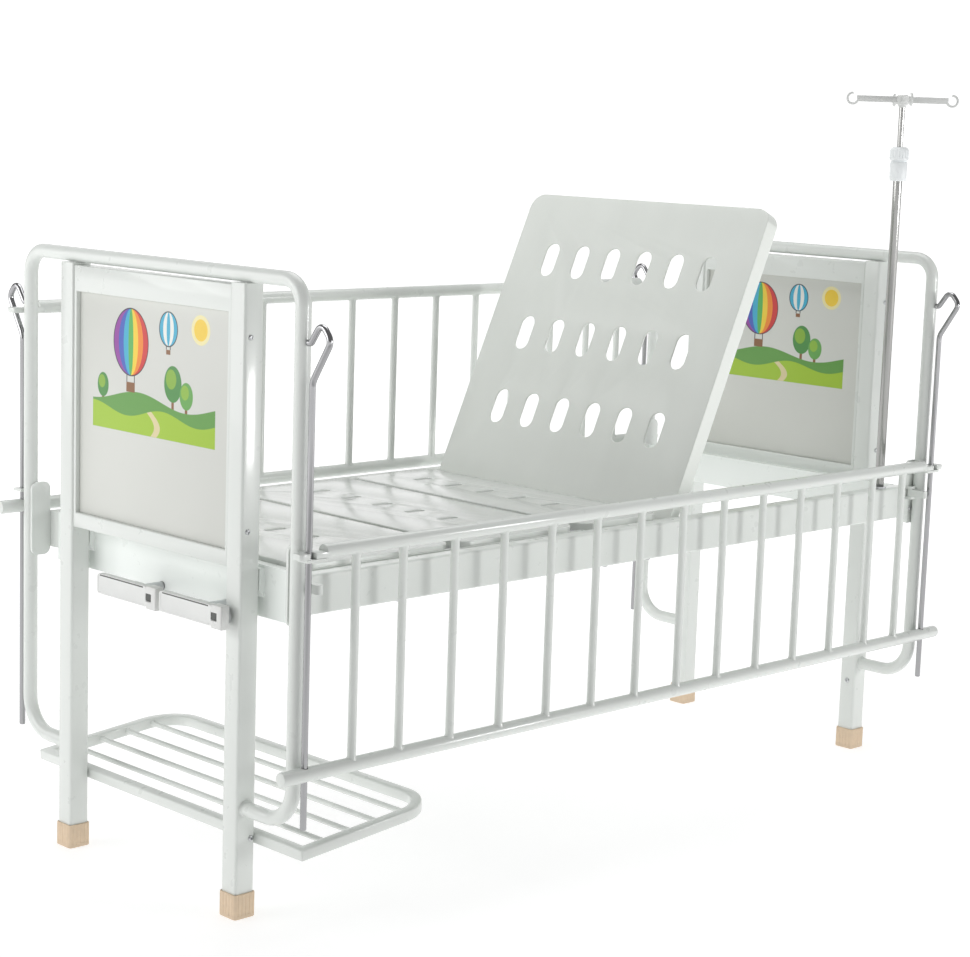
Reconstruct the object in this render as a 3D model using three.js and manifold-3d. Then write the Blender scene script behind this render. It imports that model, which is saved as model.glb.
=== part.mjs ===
// Children's hospital cot with two cranks, two lifting side rails and a drip pole.
// Millimetres. X runs from the foot end to the head end, Y from the near side to the far side, Z up.

import * as THREE from "three";
import { mergeVertices, toCreasedNormals } from "three/addons/utils/BufferGeometryUtils.js";
import Module from "manifold-3d";

const wasm = await Module();
wasm.setup();

// Clearances
const GAP = 0.3; // between pieces that seat on each other
const RUN = 1.0; // around a rod that something slides on
const PIVOT_GAP = 0.4; // around a pin that something turns on

// Bed frame
const FRAME_LENGTH = 1668;
const FRAME_WIDTH = 748;
const FRAME_TOP_Z = 609;
const FRAME_DEPTH = 68;
const SIDE_THICK = 30;
const SIDE_CORNER = 5;
const END_THICK = 18;
const FOOT_BEAM_DROP = 21;
const SPACER_LENGTH = 11;
const SPACER_DEPTH = 52;
const SPACER_SLANT = 16;
const CROSS_SIDE = 30;
const CROSS_SETBACK = 38;
const RUNNER_WIDTH = 6;
const RUNNER_THICK = 5;
const RUNNER_LENGTH = 300;

// Legs and their foot caps
const LEG_SIDE = 40;
const LEG_CORNER = 5;
const LEG_INSET = 129;
const CAP_WALL = 3;
const CAP_CORNER = 7;
const CAP_HEIGHT = 44;
const CAP_FLOOR = 8;

// Bent loop tube over each pair of legs
const LOOP_DIA = 26;
const LOOP_ROOM = 1;
const LOOP_TOP_Z = 1094;
const LOOP_LOW_Z = 193;
const LOOP_TOP_BEND = 42;
const LOOP_LOW_BEND = 66;

// End boards: a folded frame with an inset panel
const BOARD_THICK = 34;
const BOARD_DROP = 4;
const BOARD_TOP_LINE = 4;
const BOARD_SILL = 27;
const BOARD_HEAD = 46;
const STILE = 7;
const PANEL_RECESS = 8;

// Deck boards, in order from the foot end: leg, thigh, seat, back
const DECK_PROUD = 7;
const DECK_THICK = 25;
const DECK_SIDE_ROOM = 14;
const DECK_END_ROOM = 6;
const DECK_EDGE = 3;
const DECK_CORNER = 34;
const THIGH_HINGE_X = -135;
const KNEE_HINGE_X = -452;
const HINGE_RISE = 7;
const HINGE_ROD_DIA = 10;
const HINGE_PANEL_ROOM = 1.5;
const SEAT_FRONT_ROOM = 9;
const SEAT_BACK_ROOM = 16;
const BACK_PIVOT_X = 148;
const BACK_PIVOT_DROP = 11;
const BACK_TAIL = 39;
const BACK_REST_DEG = 65.9;
const BACK_MAX_DEG = 75;
const BACK_ROD_DIA = 12;
const BACK_RIM = 6;
const BACK_RIM_DEPTH = 9;
const BACK_RIM_START = 34;
const ROD_SEAT_DEPTH = 12;
const SLOT_LENGTH = 74;
const SLOT_WIDTH = 36;
const SLOT_COUNT = 6;
const SLOT_ROWS = 3;
const SLOT_SIDE_MARGIN = 111.5;
const SLOT_LOW_MARGIN = 217.5;
const SLOT_TOP_MARGIN = 148.5;
const DECK_SLOT_LENGTH = 46;
const DECK_SLOT_WIDTH = 16;
const DECK_SLOT_COUNT = 6;
const DECK_SLOT_MARGIN = 100;

// Steel frames under the moving boards
const SUB_BAR = 20;
const SUB_BAR_INSET = 35;
const SUB_BAR_END = 80;
const SUB_CROSS_COUNT = 2;
const SUB_CROSS_SPARE = 0.5; // bays left free beyond the last cross tube
const SLEEVE_WALL = 3.6;
const STRAP_THICK = 5;
const STRAP_EYE_DIA = 20;
const UNDER_TUBE_DIA = 18;
const UNDER_TUBE_SETBACK = 40;
const LEG_FOOT_SETBACK = 26;
const LEVER_THICK = 6;
const LEVER_WIDTH = 22;
const THIGH_MAX_DEG = 35;

// Crank drives: handle, screw, push tube, yoke
const DRIVE_DROP = 16;
const BACK_DRIVE_Y = 20;
const THIGH_DRIVE_Y = -163;
const SCREW_DIA = 16;
const SCREW_REACH = 354;
const TUBE_WALL = 2;
const TUBE_BORE_DEPTH = 240;
const TUBE_FOOT_ROOM = 176;
const YOKE_LENGTH = 36;
const YOKE_HEIGHT = 44;
const YOKE_WALL = 6;
const DRIVE_PIN_DIA = 12;
const DRIVE_PIN_PLAY = 1.8;
const BEARING_WALL = 14;
const HANGER_SETBACK = 25;
const HANGER_THICK = 20;
const HANGER_DEPTH = 38;
const HANGER_MARGIN = 30;
const HANGER_STRAP = 10;
const HANGER_STRAP_DEPTH = 20;
const ARM_THICK = 7;
const ARM_WIDTH = 30;
const ARM_LENGTH = 70;
const CRANK_ROOM = 4.5;
const KNUCKLE_DIA = 18;
const KNUCKLE_REACH = 20;
const KNUCKLE_CHEEK = 13;
const FOLD_PIN_DIA = 6;
const GRIP_LENGTH = 146;
const GRIP_HEIGHT = 36;
const GRIP_THICK = 13;

// Side rails on their guide rods
const RAIL_OVERHANG = 51;
const RAIL_ROOM = 1.5;
const RAIL_DIA = 25;
const RAIL_HEIGHT = 370;
const RAIL_LOW_RISE = 48;
const RAIL_TRAVEL = 328;
const BAR_DIA = 15;
const BAR_COUNT = 14;
const BAR_MARGIN = 72;
const BAR_END_GAP = 105;
const FORK_END = 27;
const FORK_THICK = 10;
const FORK_DROP = 4;
const ROD_DIA = 11;
const ROD_BEND_DROP = 51;
const ROD_BULGE = 44;
const ROD_BULGE_RISE = 69;
const ROD_CROWN = 20;
const ROD_CROWN_RISE = 35;
const ROD_END_RISE = 11;

// Corner plates with the rail catches
const PLATE_THICK = 5;
const PLATE_REACH = 40;
const PLATE_DROP = 14;
const PLATE_RISE = 55;
const EAR_THICK = 5;
const EAR_WIDTH = 15;
const EAR_MARGIN = 7;
const CATCH_THICK = 15;
const CATCH_WIDTH = 13;
const CATCH_TIP = 8;
const CATCH_PIN_DIA = 7;
const LUG_THICK = 6;

// Shoe rack
const RACK_SIDE = 20;
const RACK_LENGTH = 320;
const RACK_Z = 136;
const RACK_BEND = 82;
const RACK_TILT_DEG = 5.5;
const SLAT_DIA = 10;
const SLAT_COUNT = 4;

// Drip pole
const POLE_INSET = 74;
const POLE_DIA = 19;
const POLE_WALL = 3;
const POLE_HEIGHT = 657;
const SOCKET_WALL = 2.2;
const SOCKET_DEPTH = 52;
const SOCKET_FLOOR = 4;
const SOCKET_RIM = 2.5;
const SOCKET_FLANGE = 4;
const MAST_DIA = 12;
const MAST_LENGTH = 574;
const MAST_DROP_ROOM = 89;
const COLLAR_WALL = 8.2;
const COLLAR_LAP = 9;
const COLLAR_HEIGHT = 42;
const CLAMP_WALL = 13.6;
const CLAMP_HEIGHT = 28;
const CLAMP_WING = 6;
const HEAD_RISE = 158;
const HEAD_DIA = 26;
const HEAD_HEIGHT = 20;
const HOOK_REACH = 92;
const HOOK_BAR = 13;
const HOOK_BAR_THICK = 7;
const HOOK_RADIUS = 11;
const HOOK_DIA = 5;
const HOOK_TURN_DEG = 45;

// Finishes
function finish(color, roughness, metalness) {
  return new THREE.MeshStandardMaterial({ color, roughness, metalness });
}

const WHITE = finish(0xe4e8e4, 0.35, 0.1);
const DECK = finish(0xd3d7d1, 0.4, 0);
const PANEL = finish(0xd8d9d3, 0.5, 0);
const TAN = finish(0xdebd95, 0.6, 0);
const CHROME = finish(0xc4c6c8, 0.15, 1);
const STEEL = finish(0xa8abad, 0.35, 1);
const GREY = finish(0xd7d8d6, 0.5, 0);
const DARK = finish(0x6d7070, 0.55, 0);
const COLLAR = finish(0xcdd1d2, 0.45, 0);

// Values that follow from the sizes
const LEG_PITCH_X = FRAME_LENGTH + 2 * SPACER_LENGTH + LEG_SIDE;
const LEG_PITCH_Y = FRAME_WIDTH - 2 * LEG_INSET;
const LEG_IN_X = LEG_PITCH_X / 2 - LEG_SIDE / 2;
const LEG_OUT_X = LEG_PITCH_X / 2 + LEG_SIDE / 2;
const FRAME_LOW_Z = FRAME_TOP_Z - FRAME_DEPTH;
const FRAME_IN_X = FRAME_LENGTH / 2 - END_THICK;
const FRAME_IN_Y = FRAME_WIDTH / 2 - SIDE_THICK;
const LOOP_PITCH_Y = FRAME_WIDTH + 2 * LOOP_ROOM + LOOP_DIA;
const LOOP_OUT_Y = LOOP_PITCH_Y / 2 + LOOP_DIA / 2;
const LOOP_IN_Y = LOOP_PITCH_Y / 2 - LOOP_DIA / 2;
const BOARD_LOW_Z = FRAME_TOP_Z - BOARD_DROP;
const BOARD_TOP_Z = LOOP_TOP_Z - LOOP_DIA / 2 - BOARD_TOP_LINE;
const DECK_TOP_Z = FRAME_TOP_Z + DECK_PROUD;
const DECK_LOW_Z = DECK_TOP_Z - DECK_THICK;
const DECK_WIDTH = 2 * (FRAME_IN_Y - DECK_SIDE_ROOM);
const LEG_HINGE_Z = DECK_LOW_Z + HINGE_RISE;
const LEG_TUBE_Z = DECK_LOW_Z - GAP - UNDER_TUBE_DIA / 2;
const KNEE_ROOM = HINGE_ROD_DIA / 2 + HINGE_PANEL_ROOM;
const THIGH_END_X = THIGH_HINGE_X - KNEE_ROOM;
const LEG_FOOT_X = -FRAME_IN_X + DECK_END_ROOM;
const BACK_LOW_X = BACK_PIVOT_X - BACK_TAIL;
const BACK_TOP_X = FRAME_IN_X - DECK_END_ROOM;
const BACK_PIVOT_Z = DECK_LOW_Z - BACK_PIVOT_DROP;
const SEAT_FRONT_X = THIGH_HINGE_X + SEAT_FRONT_ROOM;
const SEAT_BACK_X = BACK_LOW_X - SEAT_BACK_ROOM;
const DRIVE_Z = FRAME_LOW_Z - DRIVE_DROP;
const TUBE_BORE = SCREW_DIA + 2 * RUN;
const TUBE_DIA = TUBE_BORE + 2 * TUBE_WALL;
const TUBE_FOOT_X = -FRAME_IN_X + TUBE_FOOT_ROOM;
const ROD_X = LEG_PITCH_X / 2;
const RAIL_Y = LOOP_OUT_Y + RAIL_ROOM + RAIL_DIA / 2;
const RAIL_LOW_TOP_Z = FRAME_TOP_Z + RAIL_LOW_RISE;
const RAIL_HIGH_TOP_Z = RAIL_LOW_TOP_Z + RAIL_TRAVEL;
const EAR_X = ROD_X - LOOP_DIA / 2 - RUN;
const RAIL_TOP_X = EAR_X - EAR_WIDTH - RUN;
const POLE_X = FRAME_LENGTH / 2 - POLE_INSET;
const POLE_TOP_Z = FRAME_TOP_Z + POLE_HEIGHT;
const HEAD_Z = POLE_TOP_Z + HEAD_RISE;
const MAST_LOW_Z = HEAD_Z - MAST_LENGTH;
const ENDS = { foot: -1, head: 1 };
const SIDES = { near: -1, far: 1 };

const radians = (degrees) => (degrees * Math.PI) / 180;
const sort = (a, b) => [Math.min(a, b), Math.max(a, b)];

// Each lever's mid stroke hangs straight down, so its pin stays near the push tube's line.
const BACK_LEVER = (BACK_PIVOT_Z - DRIVE_Z) / ((1 + Math.cos(radians(BACK_MAX_DEG / 2))) / 2);
const THIGH_LEVER = (LEG_HINGE_Z - DRIVE_Z) / ((1 + Math.cos(radians(THIGH_MAX_DEG / 2))) / 2);
const BACK_SWING = radians(BACK_REST_DEG - BACK_MAX_DEG / 2);
const BACK_PIN_X = BACK_PIVOT_X + BACK_LEVER * Math.sin(BACK_SWING);
const THIGH_PIN_X = THIGH_HINGE_X + THIGH_LEVER * Math.sin(radians(THIGH_MAX_DEG / 2));

// Turns a three.js geometry into a closed body with outward faces.
function solid(geometry) {
  const bare = geometry.clone();
  bare.deleteAttribute("normal");
  bare.deleteAttribute("uv");
  const merged = mergeVertices(bare, 1e-4);
  const points = merged.attributes.position.array;
  const index = merged.index.array;
  const faces = [];
  let volume = 0;
  for (let i = 0; i < index.length; i += 3) {
    const [a, b, c] = [index[i], index[i + 1], index[i + 2]];
    if (a !== b && b !== c && c !== a) {
      faces.push(a, b, c);
      const [p, q, r] = [a, b, c].map((n) => new THREE.Vector3().fromArray(points, 3 * n));
      volume += p.dot(q.cross(r));
    }
  }
  const triVerts = Uint32Array.from(volume < 0 ? faces.reverse() : faces);
  const vertProperties = Float32Array.from(points);
  return new wasm.Manifold(new wasm.Mesh({ numProp: 3, vertProperties, triVerts }));
}

const join = (first, ...others) => others.reduce((body, other) => body.add(other), first);
const cut = (first, ...others) => others.reduce((body, other) => body.subtract(other), first);

// Sends a shape's plane and depth to the axes that stand for them: x takes the plane YZ, y the plane ZX.
const TURNS = {
  x: new THREE.Matrix4().set(0, 0, 1, 0, 1, 0, 0, 0, 0, 1, 0, 0, 0, 0, 0, 1),
  y: new THREE.Matrix4().set(0, 1, 0, 0, 0, 0, 1, 0, 1, 0, 0, 0, 0, 0, 0, 1),
  z: new THREE.Matrix4(),
};

// A flat shape drawn out along an axis from one place to another, with a small rounded edge if asked.
function prism(shape, axis, from, to, edge = 0, curveSegments = 5) {
  const depth = to - from - 2 * edge;
  const bevel = { bevelThickness: edge, bevelSize: edge, bevelOffset: -edge, bevelSegments: 1 };
  const settings = { depth, curveSegments, bevelEnabled: edge > 0, ...bevel };
  const geometry = new THREE.ExtrudeGeometry(shape, settings);
  geometry.translate(0, 0, from + edge);
  geometry.applyMatrix4(TURNS[axis]);
  return solid(geometry);
}

function outline(points) {
  return new THREE.Shape(points.map(([u, v]) => new THREE.Vector2(u, v)));
}

// A rectangle with round corners between two corners.
function roundRect(u0, u1, v0, v1, r) {
  const shape = new THREE.Shape();
  shape.moveTo(u0 + r, v0);
  shape.lineTo(u1 - r, v0);
  shape.absarc(u1 - r, v0 + r, r, -Math.PI / 2, 0, false);
  shape.lineTo(u1, v1 - r);
  shape.absarc(u1 - r, v1 - r, r, 0, Math.PI / 2, false);
  shape.lineTo(u0 + r, v1);
  shape.absarc(u0 + r, v1 - r, r, Math.PI / 2, Math.PI, false);
  shape.lineTo(u0, v0 + r);
  shape.absarc(u0 + r, v0 + r, r, Math.PI, 1.5 * Math.PI, false);
  return shape;
}

function box(x0, x1, y0, y1, z0, z1) {
  const geometry = new THREE.BoxGeometry(x1 - x0, y1 - y0, z1 - z0);
  geometry.translate((x0 + x1) / 2, (y0 + y1) / 2, (z0 + z1) / 2);
  return solid(geometry);
}

// A round bar along an axis; u and v place it on the two other axes in the order of TURNS.
function bar(axis, dia, from, to, u, v, sides = 16) {
  const geometry = new THREE.CylinderGeometry(dia / 2, dia / 2, to - from, sides);
  geometry.rotateX(Math.PI / 2);
  geometry.translate(u, v, (from + to) / 2);
  geometry.applyMatrix4(TURNS[axis]);
  return solid(geometry);
}

// A centre line of straight runs with round bends, all in one plane.
class BentLine extends THREE.Curve {
  constructor(corners, bends, across, steps) {
    super();
    this.across = across;
    this.stations = [];
    corners.forEach((corner, i) => this.addCorner(corners, bends, i, steps));
  }

  addCorner(corners, bends, i, steps) {
    const here = corners[i];
    const back = i > 0 ? here.clone().sub(corners[i - 1]).normalize() : null;
    const ahead = i < corners.length - 1 ? corners[i + 1].clone().sub(here).normalize() : null;
    if (!back || !ahead) {
      this.stations.push({ point: here.clone(), tangent: (ahead ?? back).clone() });
      return;
    }
    const turn = back.angleTo(ahead);
    const reach = bends[i - 1] * Math.tan(turn / 2);
    const spin = new THREE.Vector3().crossVectors(back, ahead).normalize();
    const start = here.clone().addScaledVector(back, -reach);
    const hub = start.clone().addScaledVector(new THREE.Vector3().crossVectors(spin, back), bends[i - 1]);
    for (let n = 0; n <= steps; n += 1) {
      const part = (turn * n) / steps;
      const point = start.clone().sub(hub).applyAxisAngle(spin, part).add(hub);
      this.stations.push({ point, tangent: back.clone().applyAxisAngle(spin, part) });
    }
  }

  getPoint(t) {
    return this.stations[Math.round(t * (this.stations.length - 1))].point.clone();
  }

  getSpacedPoints() {
    return this.stations.map((station) => station.point);
  }

  computeFrenetFrames() {
    const tangents = this.stations.map((station) => station.tangent);
    const binormals = tangents.map(() => this.across.clone());
    const normals = tangents.map((tangent) => new THREE.Vector3().crossVectors(this.across, tangent));
    return { tangents, normals, binormals };
  }
}

// A round tube along bent runs; across is the direction square to the plane of the bends.
function bentTube(corners, bends, across, dia, sides = 12, steps = 5) {
  const line = new BentLine(corners, bends, across, steps);
  const ring = [];
  for (let n = 0; n < sides; n += 1) {
    const angle = (2 * Math.PI * (n + 0.5)) / sides;
    ring.push([(dia / 2) * Math.cos(angle), (dia / 2) * Math.sin(angle)]);
  }
  const settings = { steps: line.stations.length - 1, extrudePath: line, bevelEnabled: false };
  return solid(new THREE.ExtrudeGeometry(outline(ring), settings));
}

// A turned body about a vertical or X axis from radius and height pairs that start and end on the axis.
function turned(profile, axis, u, v, sides = 20) {
  const geometry = new THREE.LatheGeometry(profile.map(([r, h]) => new THREE.Vector2(r, h)), sides);
  geometry.rotateX(Math.PI / 2);
  geometry.translate(u, v, 0);
  geometry.applyMatrix4(TURNS[axis]);
  return solid(geometry);
}

// Turns a body about an axis along Y; positive lifts what lies towards the head end.
function tilt(body, x, z, degrees) {
  return body.translate([-x, 0, -z]).rotate([0, -degrees, 0]).translate([x, 0, z]);
}

const cot = new THREE.Group();
cot.name = "childrens_hospital_cot";

function piece(name, body, material) {
  const { numProp, vertProperties, triVerts } = body.getMesh();
  const geometry = new THREE.BufferGeometry();
  const points = new Float32Array((vertProperties.length / numProp) * 3);
  for (let i = 0; i < points.length; i += 1) {
    points[i] = vertProperties[Math.floor(i / 3) * numProp + (i % 3)];
  }
  geometry.setAttribute("position", new THREE.BufferAttribute(points, 3));
  geometry.setIndex(new THREE.BufferAttribute(Uint32Array.from(triVerts), 1));
  const mesh = new THREE.Mesh(toCreasedNormals(geometry, 0.6), material);
  mesh.name = name;
  cot.add(mesh);
}

// Legs, foot caps, loops and boards of one end
function buildEnd(end, sx) {
  const x = (sx * LEG_PITCH_X) / 2;
  const legTop = LOOP_TOP_Z - LOOP_DIA / 2 - GAP;
  for (const [side, sy] of Object.entries(SIDES)) {
    const y = (sy * LEG_PITCH_Y) / 2;
    const half = LEG_SIDE / 2;
    const leg = roundRect(x - half, x + half, y - half, y + half, LEG_CORNER);
    piece(`leg_${end}_${side}`, prism(leg, "z", CAP_FLOOR + GAP, legTop, 0, 2), WHITE);
    const hole = half + GAP;
    const rim = half + CAP_WALL;
    const cup = prism(roundRect(x - rim, x + rim, y - rim, y + rim, CAP_CORNER), "z", 0, CAP_HEIGHT, 0, 2);
    const pocket = roundRect(x - hole, x + hole, y - hole, y + hole, LEG_CORNER);
    piece(`foot_cap_${end}_${side}`, cut(cup, prism(pocket, "z", CAP_FLOOR, CAP_HEIGHT + 1, 0, 2)), TAN);
  }
  const stub = LEG_PITCH_Y / 2 + LEG_SIDE / 2 + GAP;
  const wing = LOOP_PITCH_Y / 2;
  const run = [[-stub, LOOP_LOW_Z], [-wing, LOOP_LOW_Z], [-wing, LOOP_TOP_Z], [wing, LOOP_TOP_Z],
    [wing, LOOP_LOW_Z], [stub, LOOP_LOW_Z]].map(([y, z]) => new THREE.Vector3(x, y, z));
  const bends = [LOOP_LOW_BEND, LOOP_TOP_BEND, LOOP_TOP_BEND, LOOP_LOW_BEND];
  piece(`loop_${end}`, bentTube(run, bends, new THREE.Vector3(1, 0, 0), LOOP_DIA), WHITE);

  const half = LEG_PITCH_Y / 2 - LEG_SIDE / 2 - GAP;
  const windowLow = BOARD_LOW_Z + BOARD_SILL;
  const windowTop = BOARD_TOP_Z - BOARD_HEAD;
  const leaf = BOARD_THICK / 2 - PANEL_RECESS;
  const open = half - STILE;
  const board = roundRect(-half, half, BOARD_LOW_Z, BOARD_TOP_Z, 0);
  board.holes.push(roundRect(-open, open, windowLow, windowTop, 0));
  piece(`board_${end}`, prism(board, "x", x - BOARD_THICK / 2, x + BOARD_THICK / 2), WHITE);
  const inset = box(x - leaf, x + leaf, GAP - open, open - GAP, windowLow + GAP, windowTop - GAP);
  piece(`panel_${end}`, inset, PANEL);
}

// Side members with their runners, rod seats and the near one's pole socket hole
function buildSide(side, sy) {
  const half = FRAME_LENGTH / 2;
  const outer = (sy * FRAME_WIDTH) / 2;
  const inner = sy * FRAME_IN_Y;
  const section = roundRect(...sort(outer, inner), FRAME_LOW_Z, FRAME_TOP_Z, SIDE_CORNER);
  const body = prism(section, "x", -half, half, 0, 3);
  const deep = inner + sy * ROD_SEAT_DEPTH;
  const seat = (dia, x, z) => bar("y", dia + 2 * GAP, ...sort(inner - sy, deep), z, x);
  const runnerTop = LEG_TUBE_Z - UNDER_TUBE_DIA / 2 - GAP;
  const lip = inner - sy * RUNNER_WIDTH;
  const start = -FRAME_IN_X + GAP;
  const root = inner + sy;
  const runner = box(start, start + RUNNER_LENGTH, ...sort(lip, root), runnerTop - RUNNER_THICK, runnerTop);
  const backSeat = seat(BACK_ROD_DIA, BACK_PIVOT_X, BACK_PIVOT_Z);
  const thighSeat = seat(HINGE_ROD_DIA, THIGH_HINGE_X, LEG_HINGE_Z);
  let member = cut(join(body, runner), backSeat, thighSeat);
  if (side === "near") {
    const dia = POLE_DIA + 4 * GAP + 2 * SOCKET_WALL;
    const y = (outer + inner) / 2;
    member = cut(member, bar("z", dia, FRAME_TOP_Z - SOCKET_DEPTH, FRAME_TOP_Z + 1, POLE_X, y));
  }
  piece(`side_member_${side}`, member, WHITE);
}

// End beam with the two slanted spacers that meet the legs; the foot beam also carries the crank bearings
function buildBeam(end, sx) {
  const outer = (sx * FRAME_LENGTH) / 2;
  const inner = sx * FRAME_IN_X;
  const width = FRAME_IN_Y - GAP;
  const lowZ = end === "foot" ? FRAME_LOW_Z - FOOT_BEAM_DROP : FRAME_LOW_Z;
  let beam = box(...sort(outer, inner), -width, width, lowZ, FRAME_TOP_Z);
  const face = sx * (LEG_IN_X - GAP);
  const top = FRAME_TOP_Z - SIDE_CORNER;
  const low = top - SPACER_DEPTH;
  for (const sy of Object.values(SIDES)) {
    const edges = sort(sy * (LEG_PITCH_Y / 2 - LEG_SIDE / 2), sy * (LEG_PITCH_Y / 2 + LEG_SIDE / 2));
    const sides = [[top, outer - sx], [low, outer - sx], [low + SPACER_SLANT, face], [top, face]];
    beam = join(beam, prism(outline(sx < 0 ? sides : sides.reverse()), "y", ...edges));
  }
  if (end === "foot") {
    for (const y of [BACK_DRIVE_Y, THIGH_DRIVE_Y]) {
      const reach = SCREW_DIA / 2 + BEARING_WALL;
      const block = box(...sort(outer, inner), y - reach, y + reach, DRIVE_Z - reach, FRAME_LOW_Z);
      const bore = bar("x", SCREW_DIA + 2 * GAP, ...sort(outer + sx, inner - sx), y, DRIVE_Z, 20);
      beam = cut(join(beam, block), bore);
    }
  }
  piece(`beam_${end}`, beam, WHITE);
}

function buildFrame() {
  for (const [side, sy] of Object.entries(SIDES)) {
    buildSide(side, sy);
  }
  for (const [end, sx] of Object.entries(ENDS)) {
    buildBeam(end, sx);
  }
  const width = FRAME_IN_Y - GAP;
  const top = DECK_LOW_Z - GAP;
  [SEAT_FRONT_X + CROSS_SETBACK, SEAT_BACK_X - CROSS_SETBACK].forEach((x, n) => {
    const section = roundRect(top - CROSS_SIDE, top, x - CROSS_SIDE / 2, x + CROSS_SIDE / 2, 3);
    piece(`cross_member_${n + 1}`, prism(section, "y", -width, width, 0, 2), WHITE);
  });
  const hangerTop = FRAME_LOW_Z - GAP;
  const hangerX = TUBE_FOOT_X + HANGER_SETBACK;
  const hangerReach = TUBE_DIA / 2 + RUN + HANGER_MARGIN;
  const hangerY = [THIGH_DRIVE_Y - hangerReach, BACK_DRIVE_Y + hangerReach];
  let hanger = box(hangerX - HANGER_THICK / 2, hangerX + HANGER_THICK / 2, ...hangerY,
    hangerTop - HANGER_DEPTH, hangerTop);
  for (const y of [hangerY[0], hangerY[1] - HANGER_STRAP]) {
    hanger = join(hanger, box(-FRAME_IN_X + GAP, hangerX, y, y + HANGER_STRAP,
      hangerTop - HANGER_STRAP_DEPTH, hangerTop));
  }
  for (const y of [BACK_DRIVE_Y, THIGH_DRIVE_Y]) {
    const bore = bar("x", TUBE_DIA + 2 * RUN, hangerX - HANGER_THICK, hangerX + HANGER_THICK, y, DRIVE_Z, 20);
    hanger = cut(hanger, bore);
  }
  piece("drive_hanger", hanger, WHITE);
  const rodHalf = FRAME_IN_Y + ROD_SEAT_DEPTH - GAP;
  piece("back_pivot_rod", bar("y", BACK_ROD_DIA, -rodHalf, rodHalf, BACK_PIVOT_Z, BACK_PIVOT_X), STEEL);
  piece("thigh_pivot_rod", bar("y", HINGE_ROD_DIA, -rodHalf, rodHalf, LEG_HINGE_Z, THIGH_HINGE_X), STEEL);
}

// A deck board with rows of slots; each row is a place along X
function deckBoard(x0, x1, rows, { count, margin, length, width }) {
  const half = DECK_WIDTH / 2;
  const pitch = (DECK_WIDTH - 2 * margin) / (count - 1);
  const slots = [];
  for (const x of rows) {
    for (let n = 0; n < count; n += 1) {
      const y = (n - (count - 1) / 2) * pitch;
      const slot = roundRect(x - length / 2, x + length / 2, y - width / 2, y + width / 2, width / 2 - GAP);
      slots.push(prism(slot, "z", DECK_LOW_Z - 1, DECK_TOP_Z + 1, 0, 2));
    }
  }
  const shape = roundRect(x0, x1, -half, half, DECK_CORNER);
  return cut(prism(shape, "z", DECK_LOW_Z, DECK_TOP_Z, DECK_EDGE, 4), ...slots);
}

// A level board with one row of slots across its middle
function levelBoard(x0, x1) {
  const slots = {
    count: DECK_SLOT_COUNT,
    margin: DECK_SLOT_MARGIN,
    length: DECK_SLOT_LENGTH,
    width: DECK_SLOT_WIDTH,
  };
  return deckBoard(x0, x1, [(x0 + x1) / 2], slots);
}

// Two lever plates and the pin between them, from a body's own tube down to the yoke of its push tube
function lever(y, tubeX, tubeZ, pinX, pinZ) {
  const along = new THREE.Vector2(pinX - tubeX, pinZ - tubeZ);
  const square = new THREE.Vector2(-along.y, along.x).setLength(LEVER_WIDTH / 2);
  const flat = outline([
    [tubeZ + square.y, tubeX + square.x],
    [tubeZ - square.y, tubeX - square.x],
    [pinZ - square.y, pinX - square.x],
    [pinZ + square.y, pinX + square.x],
  ]);
  const inner = TUBE_DIA / 2 + RUN;
  const outer = inner + LEVER_THICK;
  const plates = [-1, 1].map((s) => {
    const [from, to] = sort(y + s * inner, y + s * outer);
    return join(prism(flat, "y", from, to), bar("y", LEVER_WIDTH, from, to, pinZ, pinX));
  });
  return join(...plates, bar("y", DRIVE_PIN_DIA, y - outer, y + outer, pinZ, pinX));
}

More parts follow.
